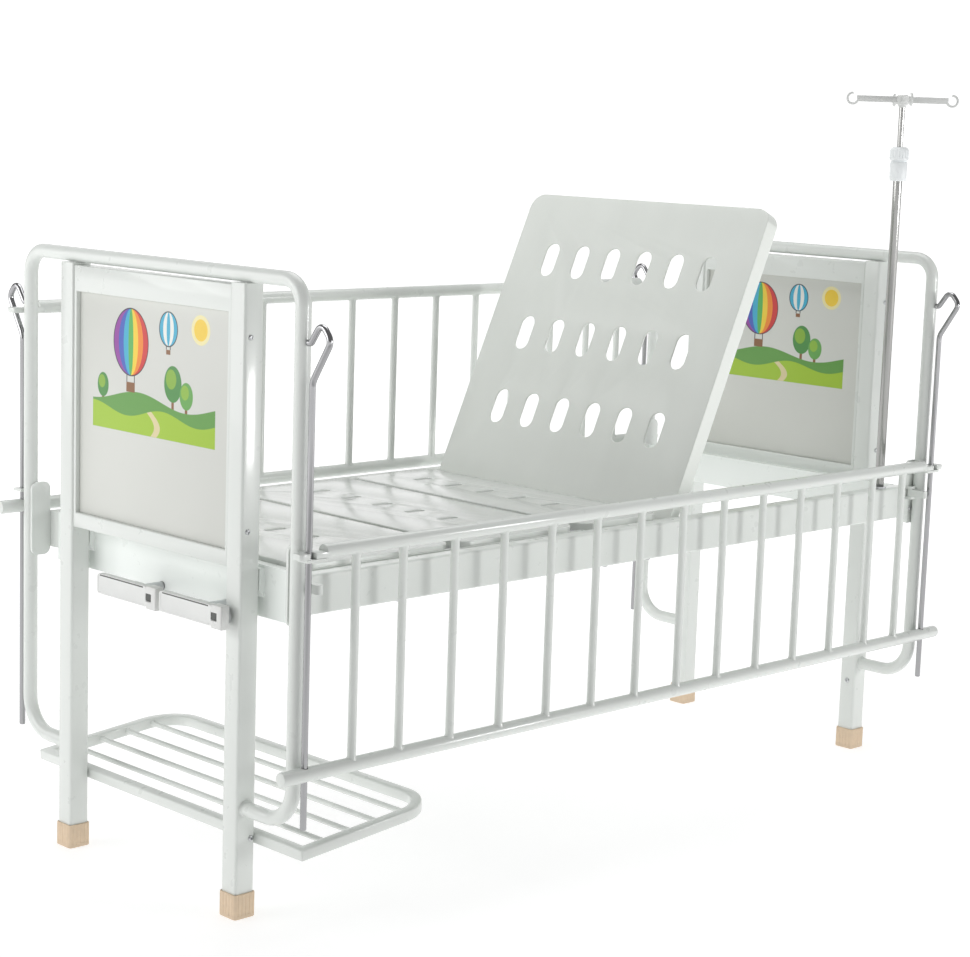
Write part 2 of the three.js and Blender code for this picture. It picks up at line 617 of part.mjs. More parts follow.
// Back panel on its frame, built flat and then tilted to the photographed angle
function buildBack() {
  const rest = (body) => tilt(body, BACK_PIVOT_X, BACK_PIVOT_Z, BACK_REST_DEG);
  const lowRow = BACK_LOW_X + SLOT_LOW_MARGIN;
  const rowPitch = (BACK_TOP_X - SLOT_TOP_MARGIN - lowRow) / (SLOT_ROWS - 1);
  const rows = Array.from({ length: SLOT_ROWS }, (_, n) => lowRow + n * rowPitch);
  const slots = { count: SLOT_COUNT, margin: SLOT_SIDE_MARGIN, length: SLOT_LENGTH, width: SLOT_WIDTH };
  const board = deckBoard(BACK_LOW_X, BACK_TOP_X, rows, slots);
  const width = DECK_WIDTH / 2;
  const rimStart = BACK_PIVOT_X + BACK_RIM_START;
  const rimLow = DECK_LOW_Z - BACK_RIM_DEPTH;
  const around = (inset) => roundRect(BACK_LOW_X + inset, BACK_TOP_X - inset, inset - width, width - inset,
    DECK_CORNER - inset);
  const rim = cut(
    prism(around(0), "z", rimLow, DECK_LOW_Z + DECK_EDGE, 0, 4),
    prism(around(BACK_RIM), "z", rimLow - 1, DECK_TOP_Z, 0, 4),
    box(BACK_LOW_X - 1, rimStart, -width - 1, width + 1, rimLow - 1, DECK_TOP_Z),
  );
  piece("back_panel", rest(join(board, rim)), DECK);
  const top = DECK_LOW_Z - GAP;
  const bore = BACK_ROD_DIA + 2 * PIVOT_GAP;
  let frame = bar("y", bore + 2 * SLEEVE_WALL, -width, width, BACK_PIVOT_Z, BACK_PIVOT_X, 20);
  const barEnd = BACK_TOP_X - SUB_BAR_END;
  const reach = width - SUB_BAR_INSET;
  for (const sy of Object.values(SIDES)) {
    const y = sy * reach;
    frame = join(frame, box(BACK_PIVOT_X, barEnd, y - SUB_BAR / 2, y + SUB_BAR / 2, top - SUB_BAR, top));
  }
  for (let n = 1; n <= SUB_CROSS_COUNT; n += 1) {
    const x = BACK_PIVOT_X + ((barEnd - BACK_PIVOT_X) * n) / (SUB_CROSS_COUNT + SUB_CROSS_SPARE);
    frame = join(frame, bar("y", UNDER_TUBE_DIA, -reach, reach, top - UNDER_TUBE_DIA / 2, x, 12));
  }
  const swing = radians(-BACK_MAX_DEG / 2);
  const pinX = BACK_PIVOT_X + BACK_LEVER * Math.sin(swing);
  const pinZ = BACK_PIVOT_Z - BACK_LEVER * Math.cos(swing);
  frame = join(frame, lever(BACK_DRIVE_Y, BACK_PIVOT_X, BACK_PIVOT_Z, pinX, pinZ));
  frame = cut(frame, bar("y", bore, -width - 1, width + 1, BACK_PIVOT_Z, BACK_PIVOT_X));
  piece("back_frame", rest(frame), WHITE);
}

// A side strap with an eye at each end that it is given
function strap(y, eyes, x0, x1) {
  const z0 = LEG_HINGE_Z - STRAP_EYE_DIA / 2;
  const z1 = LEG_HINGE_Z + STRAP_EYE_DIA / 2;
  const [from, to] = sort(y, y + Math.sign(y) * STRAP_THICK);
  let body = box(x0, x1, from, to, z0, z1);
  for (const x of eyes) {
    body = join(body, bar("y", STRAP_EYE_DIA, from, to, LEG_HINGE_Z, x, 12));
  }
  const holes = eyes.map((x) => bar("y", HINGE_ROD_DIA + 2 * PIVOT_GAP, from - 1, to + 1, LEG_HINGE_Z, x));
  return cut(body, ...holes);
}

// Thigh and leg panels with their strap frames and the knee rod between them
function buildLegRest() {
  const legStrapY = DECK_WIDTH / 2 + GAP;
  const thighStrapY = legStrapY + STRAP_THICK + GAP;
  const thighFootX = KNEE_HINGE_X + KNEE_ROOM;
  piece("thigh_panel", levelBoard(thighFootX, THIGH_END_X), DECK);
  const headTubeX = THIGH_HINGE_X - UNDER_TUBE_SETBACK;
  const kneeTubeX = KNEE_HINGE_X + UNDER_TUBE_SETBACK;
  const thighReach = thighStrapY + STRAP_THICK;
  const thighTube = (x) => bar("y", UNDER_TUBE_DIA, -thighReach, thighReach, LEG_TUBE_Z, x, 12);
  const pinZ = LEG_HINGE_Z - THIGH_LEVER * Math.cos(radians(THIGH_MAX_DEG / 2));
  const thighFrame = join(
    strap(-thighStrapY, [KNEE_HINGE_X, THIGH_HINGE_X], KNEE_HINGE_X, THIGH_HINGE_X),
    strap(thighStrapY, [KNEE_HINGE_X, THIGH_HINGE_X], KNEE_HINGE_X, THIGH_HINGE_X),
    thighTube(headTubeX),
    thighTube(kneeTubeX),
    lever(THIGH_DRIVE_Y, headTubeX, LEG_TUBE_Z, THIGH_PIN_X, pinZ),
  );
  piece("thigh_frame", thighFrame, WHITE);
  piece("knee_rod", bar("y", HINGE_ROD_DIA, -thighReach, thighReach, LEG_HINGE_Z, KNEE_HINGE_X), STEEL);

  const legHeadX = KNEE_HINGE_X - KNEE_ROOM;
  piece("leg_panel", levelBoard(LEG_FOOT_X, legHeadX), DECK);
  const footTubeX = LEG_FOOT_X + LEG_FOOT_SETBACK;
  const legTubeX = KNEE_HINGE_X - UNDER_TUBE_SETBACK;
  const runnerReach = FRAME_IN_Y - RUN;
  const legReach = legStrapY + STRAP_THICK;
  const legFrame = join(
    strap(-legStrapY, [KNEE_HINGE_X], footTubeX - UNDER_TUBE_DIA / 2, KNEE_HINGE_X),
    strap(legStrapY, [KNEE_HINGE_X], footTubeX - UNDER_TUBE_DIA / 2, KNEE_HINGE_X),
    bar("y", UNDER_TUBE_DIA, -legReach, legReach, LEG_TUBE_Z, legTubeX, 12),
    bar("y", UNDER_TUBE_DIA, -runnerReach, runnerReach, LEG_TUBE_Z, footTubeX, 12),
  );
  piece("leg_frame", legFrame, WHITE);
}

function buildSeat() {
  piece("seat_panel", levelBoard(SEAT_FRONT_X, SEAT_BACK_X), DECK);
}

// Push tube with a slotted yoke for the lever pin, and the screw with its crank
function buildDrive(name, y, pinX) {
  const yokeFoot = pinX - YOKE_LENGTH / 2;
  const boreEnd = TUBE_FOOT_X + TUBE_BORE_DEPTH;
  const [thin, thick] = [TUBE_BORE / 2, TUBE_DIA / 2];
  const profile = [[0, boreEnd], [thin, boreEnd], [thin, TUBE_FOOT_X], [thick, TUBE_FOOT_X],
    [thick, yokeFoot + 1], [0, yokeFoot + 1]];
  const tube = turned(profile, "x", y, DRIVE_Z, 20);
  const yoke = box(yokeFoot, yokeFoot + YOKE_LENGTH, y - TUBE_DIA / 2, y + TUBE_DIA / 2,
    DRIVE_Z - YOKE_HEIGHT / 2, DRIVE_Z + YOKE_HEIGHT / 2);
  const slotHalf = DRIVE_PIN_DIA / 2 + DRIVE_PIN_PLAY;
  const slotTop = YOKE_HEIGHT / 2 - YOKE_WALL;
  const [slotLow, slotHigh] = [DRIVE_Z - slotTop, DRIVE_Z + slotTop];
  const slot = roundRect(slotLow, slotHigh, pinX - slotHalf, pinX + slotHalf, slotHalf - 1);
  const yokeOpen = cut(yoke, prism(slot, "y", y - TUBE_DIA, y + TUBE_DIA));
  piece(`${name}_drive`, join(tube, yokeOpen), STEEL);

  const armIn = -LEG_OUT_X - CRANK_ROOM;
  const armOut = armIn - ARM_THICK;
  const knuckleY = y - ARM_LENGTH;
  const wide = ARM_WIDTH / 2;
  const arm = roundRect(knuckleY - wide, y + wide, DRIVE_Z - wide, DRIVE_Z + wide, wide - 1);
  const screw = bar("x", SCREW_DIA, armIn - 1, -FRAME_LENGTH / 2 + SCREW_REACH, y, DRIVE_Z, 20);
  piece(`${name}_screw`, join(prism(arm, "x", armOut, armIn), screw), STEEL);

  const pinX0 = armOut - GAP - KNUCKLE_DIA / 2;
  const tall = GRIP_HEIGHT / 2 + 2 * RUN;
  const head = bar("z", KNUCKLE_DIA, DRIVE_Z - tall, DRIVE_Z + tall, pinX0, knuckleY, 20);
  const heel = box(pinX0, armOut - GAP, knuckleY - KNUCKLE_DIA / 2, knuckleY + KNUCKLE_DIA / 2,
    DRIVE_Z - tall, DRIVE_Z + tall);
  const block = box(pinX0 - KNUCKLE_DIA / 2, armOut - GAP, knuckleY - KNUCKLE_REACH, knuckleY,
    DRIVE_Z - tall, DRIVE_Z + tall);
  const jaw = tall - KNUCKLE_CHEEK;
  const eye = GRIP_THICK / 2;
  const mouthX = [pinX0 - KNUCKLE_DIA, pinX0 + eye + PIVOT_GAP];
  const mouthY = [knuckleY - eye - PIVOT_GAP, knuckleY + KNUCKLE_DIA];
  const mouth = box(...mouthX, ...mouthY, DRIVE_Z - jaw, DRIVE_Z + jaw);
  const pin = bar("z", FOLD_PIN_DIA, DRIVE_Z - jaw - 1, DRIVE_Z + jaw + 1, pinX0, knuckleY);
  piece(`${name}_knuckle`, join(cut(join(head, heel, block), mouth), pin), DARK);

  const shoulder = knuckleY + KNUCKLE_DIA / 2 + RUN;
  const tongueZ = jaw - PIVOT_GAP;
  const tongue = join(
    bar("z", GRIP_THICK, DRIVE_Z - tongueZ, DRIVE_Z + tongueZ, pinX0, knuckleY, 20),
    box(pinX0 - eye, pinX0 + eye, knuckleY, shoulder + 1, DRIVE_Z - tongueZ, DRIVE_Z + tongueZ),
  );
  const holeDia = FOLD_PIN_DIA + 2 * PIVOT_GAP;
  const hole = bar("z", holeDia, DRIVE_Z - tongueZ - 1, DRIVE_Z + tongueZ + 1, pinX0, knuckleY);
  const half = GRIP_HEIGHT / 2;
  const face = roundRect(shoulder, shoulder + GRIP_LENGTH, DRIVE_Z - half, DRIVE_Z + half, half / 2);
  const paddle = prism(face, "x", pinX0 - eye, pinX0 + eye, 3, 3);
  piece(`${name}_grip`, join(paddle, cut(tongue, hole)), GREY);
}

// A side rail: two tubes, the upright bars and a fork at each end of the top tube
function buildRail(side, sy, topZ) {
  const y = sy * RAIL_Y;
  const lowZ = topZ - RAIL_HEIGHT;
  const lowX = LEG_PITCH_X / 2 + RAIL_OVERHANG;
  const barX = RAIL_TOP_X - BAR_MARGIN;
  const innerX = barX - BAR_END_GAP;
  const pitch = (2 * innerX) / (BAR_COUNT - 3);
  let rail = join(
    bar("x", RAIL_DIA, -RAIL_TOP_X, RAIL_TOP_X, y, topZ, 14),
    bar("x", RAIL_DIA, -lowX, lowX, y, lowZ, 14),
  );
  const barsX = [-barX, barX];
  for (let n = 0; n < BAR_COUNT - 2; n += 1) barsX.push(n * pitch - innerX);
  for (const x of barsX) rail = join(rail, bar("z", BAR_DIA, lowZ, topZ, x, y, 8));
  const reach = ROD_DIA / 2 + RUN;
  for (const sx of Object.values(ENDS)) {
    const x = sx * ROD_X;
    const [x0, x1] = sort(sx * (RAIL_TOP_X - RAIL_DIA / 2), sx * (ROD_X + FORK_END));
    const forkTop = topZ + FORK_THICK / 2 - FORK_DROP;
    const fork = box(x0, x1, y - RAIL_DIA / 2, y + RAIL_DIA / 2, forkTop - FORK_THICK, forkTop);
    const [y0, y1] = sort(y, y + sy * RAIL_DIA);
    const mouth = box(x - reach, x + reach, y0, y1, forkTop - FORK_THICK - 1, forkTop + 1);
    const round = bar("z", 2 * reach, forkTop - FORK_THICK - 1, forkTop + 1, x, y);
    const bore = bar("z", 2 * reach, lowZ - RAIL_DIA, lowZ + RAIL_DIA, x, y);
    rail = cut(join(rail, fork), mouth, round, bore);
  }
  piece(`rail_${side}`, rail, WHITE);
}

// Guide rod with its bulged hook back to the loop, and the corner plate with catch and ear
function buildCorner(end, sx, side, sy) {
  const x = sx * ROD_X;
  const y = sy * RAIL_Y;
  const bendZ = RAIL_HIGH_TOP_Z - ROD_BEND_DROP;
  const endZ = RAIL_HIGH_TOP_Z + ROD_END_RISE;
  const bulge = [ROD_BULGE, bendZ + ROD_BULGE_RISE];
  const crown = [ROD_CROWN, endZ + ROD_CROWN_RISE];
  const stop = [LOOP_OUT_Y + GAP - RAIL_Y, endZ];
  const run = [[0, LOOP_LOW_Z], [0, bendZ], bulge, crown, [-ROD_DIA / 2, endZ], stop];
  const corners = run.map(([out, z]) => new THREE.Vector3(x, y + sy * out, z));
  const across = new THREE.Vector3(1, 0, 0);
  piece(`guide_rod_${end}_${side}`, bentTube(corners, [30, 16, 12, 7], across, ROD_DIA, 8, 3), CHROME);

  const plateY = sy * (LOOP_IN_Y - GAP);
  const plateIn = plateY - sy * PLATE_THICK;
  const plateFrom = sx * (FRAME_LENGTH / 2 + GAP);
  const plateTo = plateFrom + sx * PLATE_REACH;
  const plateLow = FRAME_LOW_Z - PLATE_DROP;
  const plateTop = FRAME_TOP_Z + PLATE_RISE;
  const arch = roundRect(plateLow, plateTop, ...sort(plateFrom, plateTo), PLATE_REACH / 3);
  const earTop = RAIL_LOW_TOP_Z - FORK_DROP - FORK_THICK / 2 - GAP;
  const railOut = y + sy * (RAIL_DIA / 2);
  const earStart = sx * EAR_X;
  const earLow = earTop - EAR_THICK;
  const lugX = sort(earStart, earStart - sx * EAR_WIDTH);
  const earSide = box(...lugX, ...sort(plateY - sy, railOut), earLow, earTop);
  const tipX = sort(earStart, x + sx * (ROD_DIA / 2 + EAR_MARGIN));
  const earTip = box(...tipX, ...sort(sy * (LOOP_OUT_Y + RUN), railOut), earLow, earTop);
  const rodHole = bar("z", ROD_DIA + 2 * GAP, earLow - 1, earTop + 1, x, y);
  const railLow = RAIL_HIGH_TOP_Z - RAIL_HEIGHT - RAIL_DIA / 2;
  const catchTop = railLow - GAP;
  const catchLow = catchTop - CATCH_THICK;
  const pinX = earStart - (sx * EAR_WIDTH) / 2;
  const pinY = plateY + sy * (CATCH_WIDTH / 2 + RUN);
  const lugY = sort(plateY - sy, pinY + (sy * CATCH_WIDTH) / 2);
  const lugLow = [catchLow - PIVOT_GAP - LUG_THICK, catchTop + PIVOT_GAP];
  const lugs = lugLow.map((z) => box(...lugX, ...lugY, z, z + LUG_THICK));
  const pin = bar("z", CATCH_PIN_DIA, catchLow - LUG_THICK, catchTop + LUG_THICK, pinX, pinY, 12);
  const plate = join(prism(arch, "y", ...sort(plateIn, plateY)), earSide, earTip, ...lugs, pin);
  piece(`corner_plate_${end}_${side}`, cut(plate, rodHole), WHITE);

  const tipY = y + sy * CATCH_TIP;
  const finger = roundRect(...sort(pinX - CATCH_WIDTH / 2, pinX + CATCH_WIDTH / 2),
    ...sort(pinY - (sy * CATCH_WIDTH) / 2, tipY), CATCH_WIDTH / 2 - 0.5);
  const hole = bar("z", CATCH_PIN_DIA + 2 * PIVOT_GAP, catchLow - 1, catchTop + 1, pinX, pinY, 12);
  piece(`rail_catch_${end}_${side}`, cut(prism(finger, "z", catchLow, catchTop, 0, 4), hole), WHITE);
}

// Shoe rack: a square tube all round with square front corners and bent rear ones, and slats between its sides
function buildRack() {
  const lean = (RACK_SIDE / 2) * Math.tan(radians(RACK_TILT_DEG));
  const frontX = -LEG_IN_X + GAP + lean;
  const rearX = -LEG_IN_X + RACK_LENGTH;
  const half = LOOP_PITCH_Y / 2;
  const ring = (inset) => {
    const [front, rear, side, bend] = [frontX + inset, rearX - inset, half - inset, RACK_BEND - inset];
    const shape = new THREE.Shape();
    shape.moveTo(front, -side);
    shape.lineTo(rear - bend, -side);
    shape.absarc(rear - bend, bend - side, bend, -Math.PI / 2, 0, false);
    shape.lineTo(rear, side - bend);
    shape.absarc(rear - bend, side - bend, bend, 0, Math.PI / 2, false);
    shape.lineTo(front, side);
    return shape;
  };
  const [low, top] = [RACK_Z - RACK_SIDE / 2, RACK_Z + RACK_SIDE / 2];
  let rack = cut(prism(ring(0), "z", low, top), prism(ring(RACK_SIDE), "z", low - 1, top + 1));
  const slatHalf = half - RACK_SIDE / 2;
  const spread = (rearX - frontX - RACK_SIDE) / (SLAT_COUNT + 1);
  for (let n = 1; n <= SLAT_COUNT; n += 1) {
    rack = join(rack, bar("y", SLAT_DIA, -slatHalf, slatHalf, RACK_Z, frontX + RACK_SIDE / 2 + n * spread, 8));
  }
  piece("shoe_rack", tilt(rack, frontX, RACK_Z, RACK_TILT_DEG), WHITE);
}

// Drip pole: socket in the near side member, lower tube, clamp collar and the mast with four hooks
function buildPole() {
  const y = -(FRAME_WIDTH / 2 - SIDE_THICK / 2);
  const floor = FRAME_TOP_Z - SOCKET_DEPTH + GAP;
  const rim = FRAME_TOP_Z + GAP;
  const bore = POLE_DIA / 2 + GAP;
  const shell = bore + SOCKET_WALL;
  const flange = shell + SOCKET_RIM;
  const poleLow = floor + SOCKET_FLOOR;
  const flangeTop = rim + SOCKET_FLANGE;
  const socket = turned([[0, floor], [shell, floor], [shell, rim], [flange, rim], [flange, flangeTop],
    [bore, flangeTop], [bore, poleLow], [0, poleLow]], "z", POLE_X, y);
  piece("pole_socket", socket, STEEL);

  const tubeLow = poleLow + GAP;
  const outside = POLE_DIA / 2;
  const inside = POLE_DIA / 2 - POLE_WALL;
  const poleFloor = MAST_LOW_Z - MAST_DROP_ROOM;
  const tube = turned([[0, tubeLow], [outside, tubeLow], [outside, POLE_TOP_Z], [inside, POLE_TOP_Z],
    [inside, poleFloor], [0, poleFloor]], "z", POLE_X, y);
  piece("pole_tube", tube, CHROME);

  const mastGap = MAST_DIA / 2 + PIVOT_GAP;
  const collarLow = POLE_TOP_Z - COLLAR_LAP;
  const collarTop = collarLow + COLLAR_HEIGHT;
  const collarOut = bore + COLLAR_WALL;
  const seat = POLE_TOP_Z + GAP;
  const collar = turned([[bore, collarLow], [collarOut, collarLow], [collarOut, collarTop],
    [mastGap, collarTop], [mastGap, seat], [bore, seat], [bore, collarLow]], "z", POLE_X, y);
  piece("pole_collar", collar, COLLAR);
  const clampLow = collarTop + GAP;
  const clampTop = clampLow + CLAMP_HEIGHT;
  const clampOut = mastGap + CLAMP_WALL;
  const ring = turned([[mastGap, clampLow], [clampOut, clampLow], [clampOut, clampTop], [mastGap, clampTop],
    [mastGap, clampLow]], "z", POLE_X, y);
  const wingX = [POLE_X + clampOut - CLAMP_WING / 2, POLE_X + clampOut + CLAMP_WING];
  const wingZ = [clampLow + CLAMP_WING / 2, clampTop - CLAMP_WING / 2];
  const wing = box(...wingX, y - CLAMP_WING, y + CLAMP_WING, ...wingZ);
  piece("pole_clamp", join(ring, wing), COLLAR);

  const top = HEAD_Z + HEAD_HEIGHT / 2;
  let head = join(
    bar("z", MAST_DIA, MAST_LOW_Z, HEAD_Z, 0, 0, 16),
    bar("z", HEAD_DIA, top - HEAD_HEIGHT, top, 0, 0, 20),
  );
  const wide = 2 * HOOK_RADIUS;
  const turn = [[0, 0], [0, -1], [2, -1], [2, 1], [0.9, 1]].map(([out, up]) =>
    new THREE.Vector3(HOOK_REACH + out * HOOK_RADIUS, 0, HEAD_Z + up * HOOK_RADIUS));
  const bend = 0.48 * wide;
  const wire = bentTube(turn, [bend, bend, bend], new THREE.Vector3(0, 1, 0), HOOK_DIA, 6, 3);
  const armEnd = HOOK_REACH + HOOK_DIA / 2;
  const [flat, tall] = [HOOK_BAR_THICK / 2, HOOK_BAR / 2];
  const arm = box(0, armEnd, -flat, flat, HEAD_Z - tall, HEAD_Z + tall);
  for (let n = 0; n < 4; n += 1) {
    head = join(head, join(arm, wire).rotate([0, 0, HOOK_TURN_DEG + 90 * n]));
  }
  piece("pole_mast", head.translate([POLE_X, y, 0]), CHROME);
}

for (const [end, sx] of Object.entries(ENDS)) {
  buildEnd(end, sx);
}
buildFrame();
buildSeat();
buildBack();
buildLegRest();
buildDrive("back", BACK_DRIVE_Y, BACK_PIN_X);
buildDrive("thigh", THIGH_DRIVE_Y, THIGH_PIN_X);
buildRail("near", SIDES.near, RAIL_LOW_TOP_Z);
buildRail("far", SIDES.far, RAIL_HIGH_TOP_Z);
for (const [end, sx] of Object.entries(ENDS)) {
  for (const [side, sy] of Object.entries(SIDES)) {
    buildCorner(end, sx, side, sy);
  }
}
buildRack();
buildPole();

export default cot;
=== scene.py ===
"""Children's hospital cot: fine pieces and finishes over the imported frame, with its studio and camera.

Sizes are in millimetres, as in the part's source, and become metres where a mesh is made.
X runs from the foot end to the head end, Y from the near side to the far side, Z up.
"""

import logging
import math
from dataclasses import dataclass, field
from enum import Enum
from typing import Any, Callable, Iterable, Mapping, Optional, Sequence, Union

import bpy
from mathutils import Matrix, Vector


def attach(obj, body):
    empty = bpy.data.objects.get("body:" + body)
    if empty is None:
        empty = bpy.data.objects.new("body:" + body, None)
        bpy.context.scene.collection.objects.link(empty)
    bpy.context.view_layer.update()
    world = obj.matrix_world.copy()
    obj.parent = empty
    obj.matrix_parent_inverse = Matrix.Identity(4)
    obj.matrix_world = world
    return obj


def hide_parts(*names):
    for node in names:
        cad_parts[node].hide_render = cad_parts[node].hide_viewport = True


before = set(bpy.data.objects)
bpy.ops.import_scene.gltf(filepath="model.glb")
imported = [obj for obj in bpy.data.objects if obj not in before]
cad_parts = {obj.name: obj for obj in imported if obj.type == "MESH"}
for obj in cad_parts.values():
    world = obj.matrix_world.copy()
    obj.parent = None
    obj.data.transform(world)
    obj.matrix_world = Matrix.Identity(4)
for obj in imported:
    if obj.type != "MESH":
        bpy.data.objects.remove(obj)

LOG = logging.getLogger("cot")
MM = 0.001
PER_METRE = 1000.0
UP = Vector((0.0, 0.0, 1.0))
SQUARE_EDGES = 60.0  # easing from this angle up leaves the facets of a round alone
SHADE_BENT = 45.0  # smooth shading up to this angle, for bent and turned pieces
SHADE_MIXED = 40.0  # the same, for pieces with both rounds and flats
Colour = tuple[float, float, float]
Place = tuple[float, float, float]
Span = tuple[float, float]
Profile = Sequence[tuple[float, float]]
Number = Union[float, "Wire"]


class Slot(Enum):
    """The record's material slots."""

    WHITE_COAT = "white_coat"
    DECK_BOARD = "deck_board"
    END_PANEL = "end_panel"
    FOOT_CAP = "foot_cap"
    CHROME = "chrome"
    STEEL = "steel"
    GRIP = "grip"
    KNUCKLE = "knuckle"
    COLLAR = "collar"


class End(Enum):
    """The two ends of the cot, with the sign of X at each."""

    FOOT = -1
    HEAD = 1


class Side(Enum):
    """The two sides of the cot, with the sign of Y at each."""

    NEAR = -1
    FAR = 1


def at(x: float, y: float, z: float) -> Vector:
    """A point of the cot, from millimetres to metres."""
    return Vector((x, y, z)) * MM


def shade(colour: Colour, factor: float) -> Colour:
    """The colour made lighter or darker by a factor."""
    return (colour[0] * factor, colour[1] * factor, colour[2] * factor)


def cot_corners() -> list[tuple[End, Side, str]]:
    """The four corners of the cot: end, side and name."""
    return [(end, side, f"{end.name.lower()}_{side.name.lower()}") for end in End for side in Side]


def about(centre: Vector, angle: float, axis: str) -> Matrix:
    """A turn by so many degrees round an axis through a point."""
    turn = Matrix.Rotation(math.radians(angle), 4, axis)
    return Matrix.Translation(centre) @ turn @ Matrix.Translation(-centre)


def flared(radius: float, length: float, flare: Profile) -> list[tuple[float, float]]:
    """The profile of a bar with the same weld flare at both ends.

    Args:
        radius: The bar's radius.
        length: Its length.
        flare: How much wider it is at each height from its end.

    Returns:
        Radius and height of each step.
    """
    end = [(radius + wider, height) for wider, height in flare]
    return end + [(wide, length - height) for wide, height in reversed(end)]


# ---------------------------------------------------------------------------
# Finishes


class Wire:
    """A node's output that takes part in Python sums, each of which adds a Math node."""

    def __init__(self, graph: "Graph", socket: bpy.types.NodeSocket) -> None:
        """Keeps the socket and the graph it belongs to."""
        self.graph = graph
        self.socket = socket

    def sum(self, operation: str, first: Number, second: Number = 0.0) -> "Wire":
        """Adds one Math node.

        Args:
            operation: The Math node's operation.
            first: Its first number or link.
            second: Its second number or link.

        Returns:
            The node's output.
        """
        return self.graph.node("ShaderNodeMath", {"operation": operation}, {0: first, 1: second})

    def __add__(self, other: Number) -> "Wire":
        """This plus other."""
        return self.sum("ADD", self, other)

    def __radd__(self, other: Number) -> "Wire":
        """Other plus this."""
        return self.sum("ADD", other, self)

    def __sub__(self, other: Number) -> "Wire":
        """This minus other."""
        return self.sum("SUBTRACT", self, other)

    def __rsub__(self, other: Number) -> "Wire":
        """Other minus this."""
        return self.sum("SUBTRACT", other, self)

    def __mul__(self, other: Number) -> "Wire":
        """This times other."""
        return self.sum("MULTIPLY", self, other)

    def __rmul__(self, other: Number) -> "Wire":
        """Other times this."""
        return self.sum("MULTIPLY", other, self)

    def __truediv__(self, other: Number) -> "Wire":
        """This over other."""
        return self.sum("DIVIDE", self, other)

    def __rtruediv__(self, other: Number) -> "Wire":
        """Other over this."""
        return self.sum("DIVIDE", other, self)

    def __pow__(self, other: Number) -> "Wire":
        """This to the power of other."""
        return self.sum("POWER", self, other)

    def __abs__(self) -> "Wire":
        """This without its sign."""
        return self.sum("ABSOLUTE", self)

    def sine(self) -> "Wire":
        """The sine of this, in radians."""
        return self.sum("SINE", self)

    def fraction(self) -> "Wire":
        """What is left of this after its whole number."""
        return self.sum("FRACT", self)

    def held(self) -> "Wire":
        """This kept between 0 and 1."""
        return self.graph.node("ShaderNodeClamp", {}, {0: self})


class Graph:
    """A node tree that wires are added to."""

    def __init__(self, tree: bpy.types.NodeTree) -> None:
        """Keeps the tree."""
        self.tree = tree

    def plug(self, socket: bpy.types.NodeSocket, value: Any) -> None:
        """Links a wire to a socket, or sets the socket's own value.

        Args:
            socket: The socket.
            value: The wire, number, colour or vector.
        """
        if isinstance(value, Wire):
            self.tree.links.new(value.socket, socket)
        elif socket.type == "RGBA" and len(value) == 3:
            socket.default_value = (*value, 1.0)
        else:
            socket.default_value = value

    def node(
        self,
        kind: str,
        settings: Optional[Mapping[str, Any]] = None,
        sockets: Optional[Mapping[Union[int, str], Any]] = None,
        out: Union[int, str] = 0,
    ) -> Wire:
        """Adds any node.

        Args:
            kind: The node's type.
            settings: Its settings, set first; stops are a ramp's (place, colour) pairs.
            sockets: Values or links for its inputs.
            out: Which output is wanted.

        Returns:
            That output.
        """
        made = self.tree.nodes.new(kind)
        for key, value in (settings or {}).items():
            if key == "stops":
                ramp = made.color_ramp
                ramp.interpolation = "CONSTANT"
                while len(ramp.elements) < len(value):
                    ramp.elements.new(1.0)
                for element, (place, colour) in zip(ramp.elements, value):
                    element.position = place
                    element.color = (*colour, 1.0)
            else:
                setattr(made, key, value)
        for key, value in (sockets or {}).items():
            self.plug(made.inputs[key], value)
        return Wire(self, made.outputs[out])


class Paint(Graph):
    """One material's node tree, with its Principled shader."""

    def __init__(self, name: str) -> None:
        """Makes an empty material of that name.

        Args:
            name: The material's name.
        """
        self.material = bpy.data.materials.new(name)
        self.material.use_nodes = True
        super().__init__(self.material.node_tree)
        self.shader = self.tree.nodes["Principled BSDF"]

    def set(self, socket: str, value: Any) -> None:
        """Feeds one socket of the Principled shader."""
        self.plug(self.shader.inputs[socket], value)

    def place(self) -> Wire:
        """The point of the surface, in the cot's frame."""
        return self.node("ShaderNodeTexCoord", out="Object")

    def axes(self) -> tuple[Wire, Wire, Wire]:
        """The three coordinates of the point of the surface, in metres.

        Returns:
            X, Y and Z.
        """
        split = self.node("ShaderNodeSeparateXYZ", {}, {0: self.place()})
        outputs = split.socket.node.outputs
        return Wire(self, outputs[0]), Wire(self, outputs[1]), Wire(self, outputs[2])

    def noise(self, scale: float, detail: float = 2.0, stretch: Place = (1.0, 1.0, 1.0)) -> Wire:
        """Soft noise over the surface.

        Args:
            scale: How many features go into a metre.
            detail: How much finer noise is added.
            stretch: How much closer the noise is along each axis.

        Returns:
            The noise, about 0.3 to 0.7.
        """
        vector = self.node("ShaderNodeMapping", {}, {"Vector": self.place(), "Scale": stretch})
        return self.node("ShaderNodeTexNoise", {}, {"Vector": vector, "Scale": scale, "Detail": detail})

    def mix(self, mask: Number, low: Any, high: Any) -> Wire:
        """A colour between low, where the mask is 0, and high, where it is 1."""
        return self.node("ShaderNodeMix", {"data_type": "RGBA"}, {0: mask, 6: low, 7: high}, 2)

    def bump(self, height: Wire, strength: float, depth: float) -> None:
        """Raises the surface by a height map.

        Args:
            height: The map, from 0 to 1.
            strength: How strongly it shows.
            depth: How high 1 stands, in metres.
        """
        sockets = {"Height": height, "Strength": strength, "Distance": depth}
        self.set("Normal", self.node("ShaderNodeBump", {}, sockets))


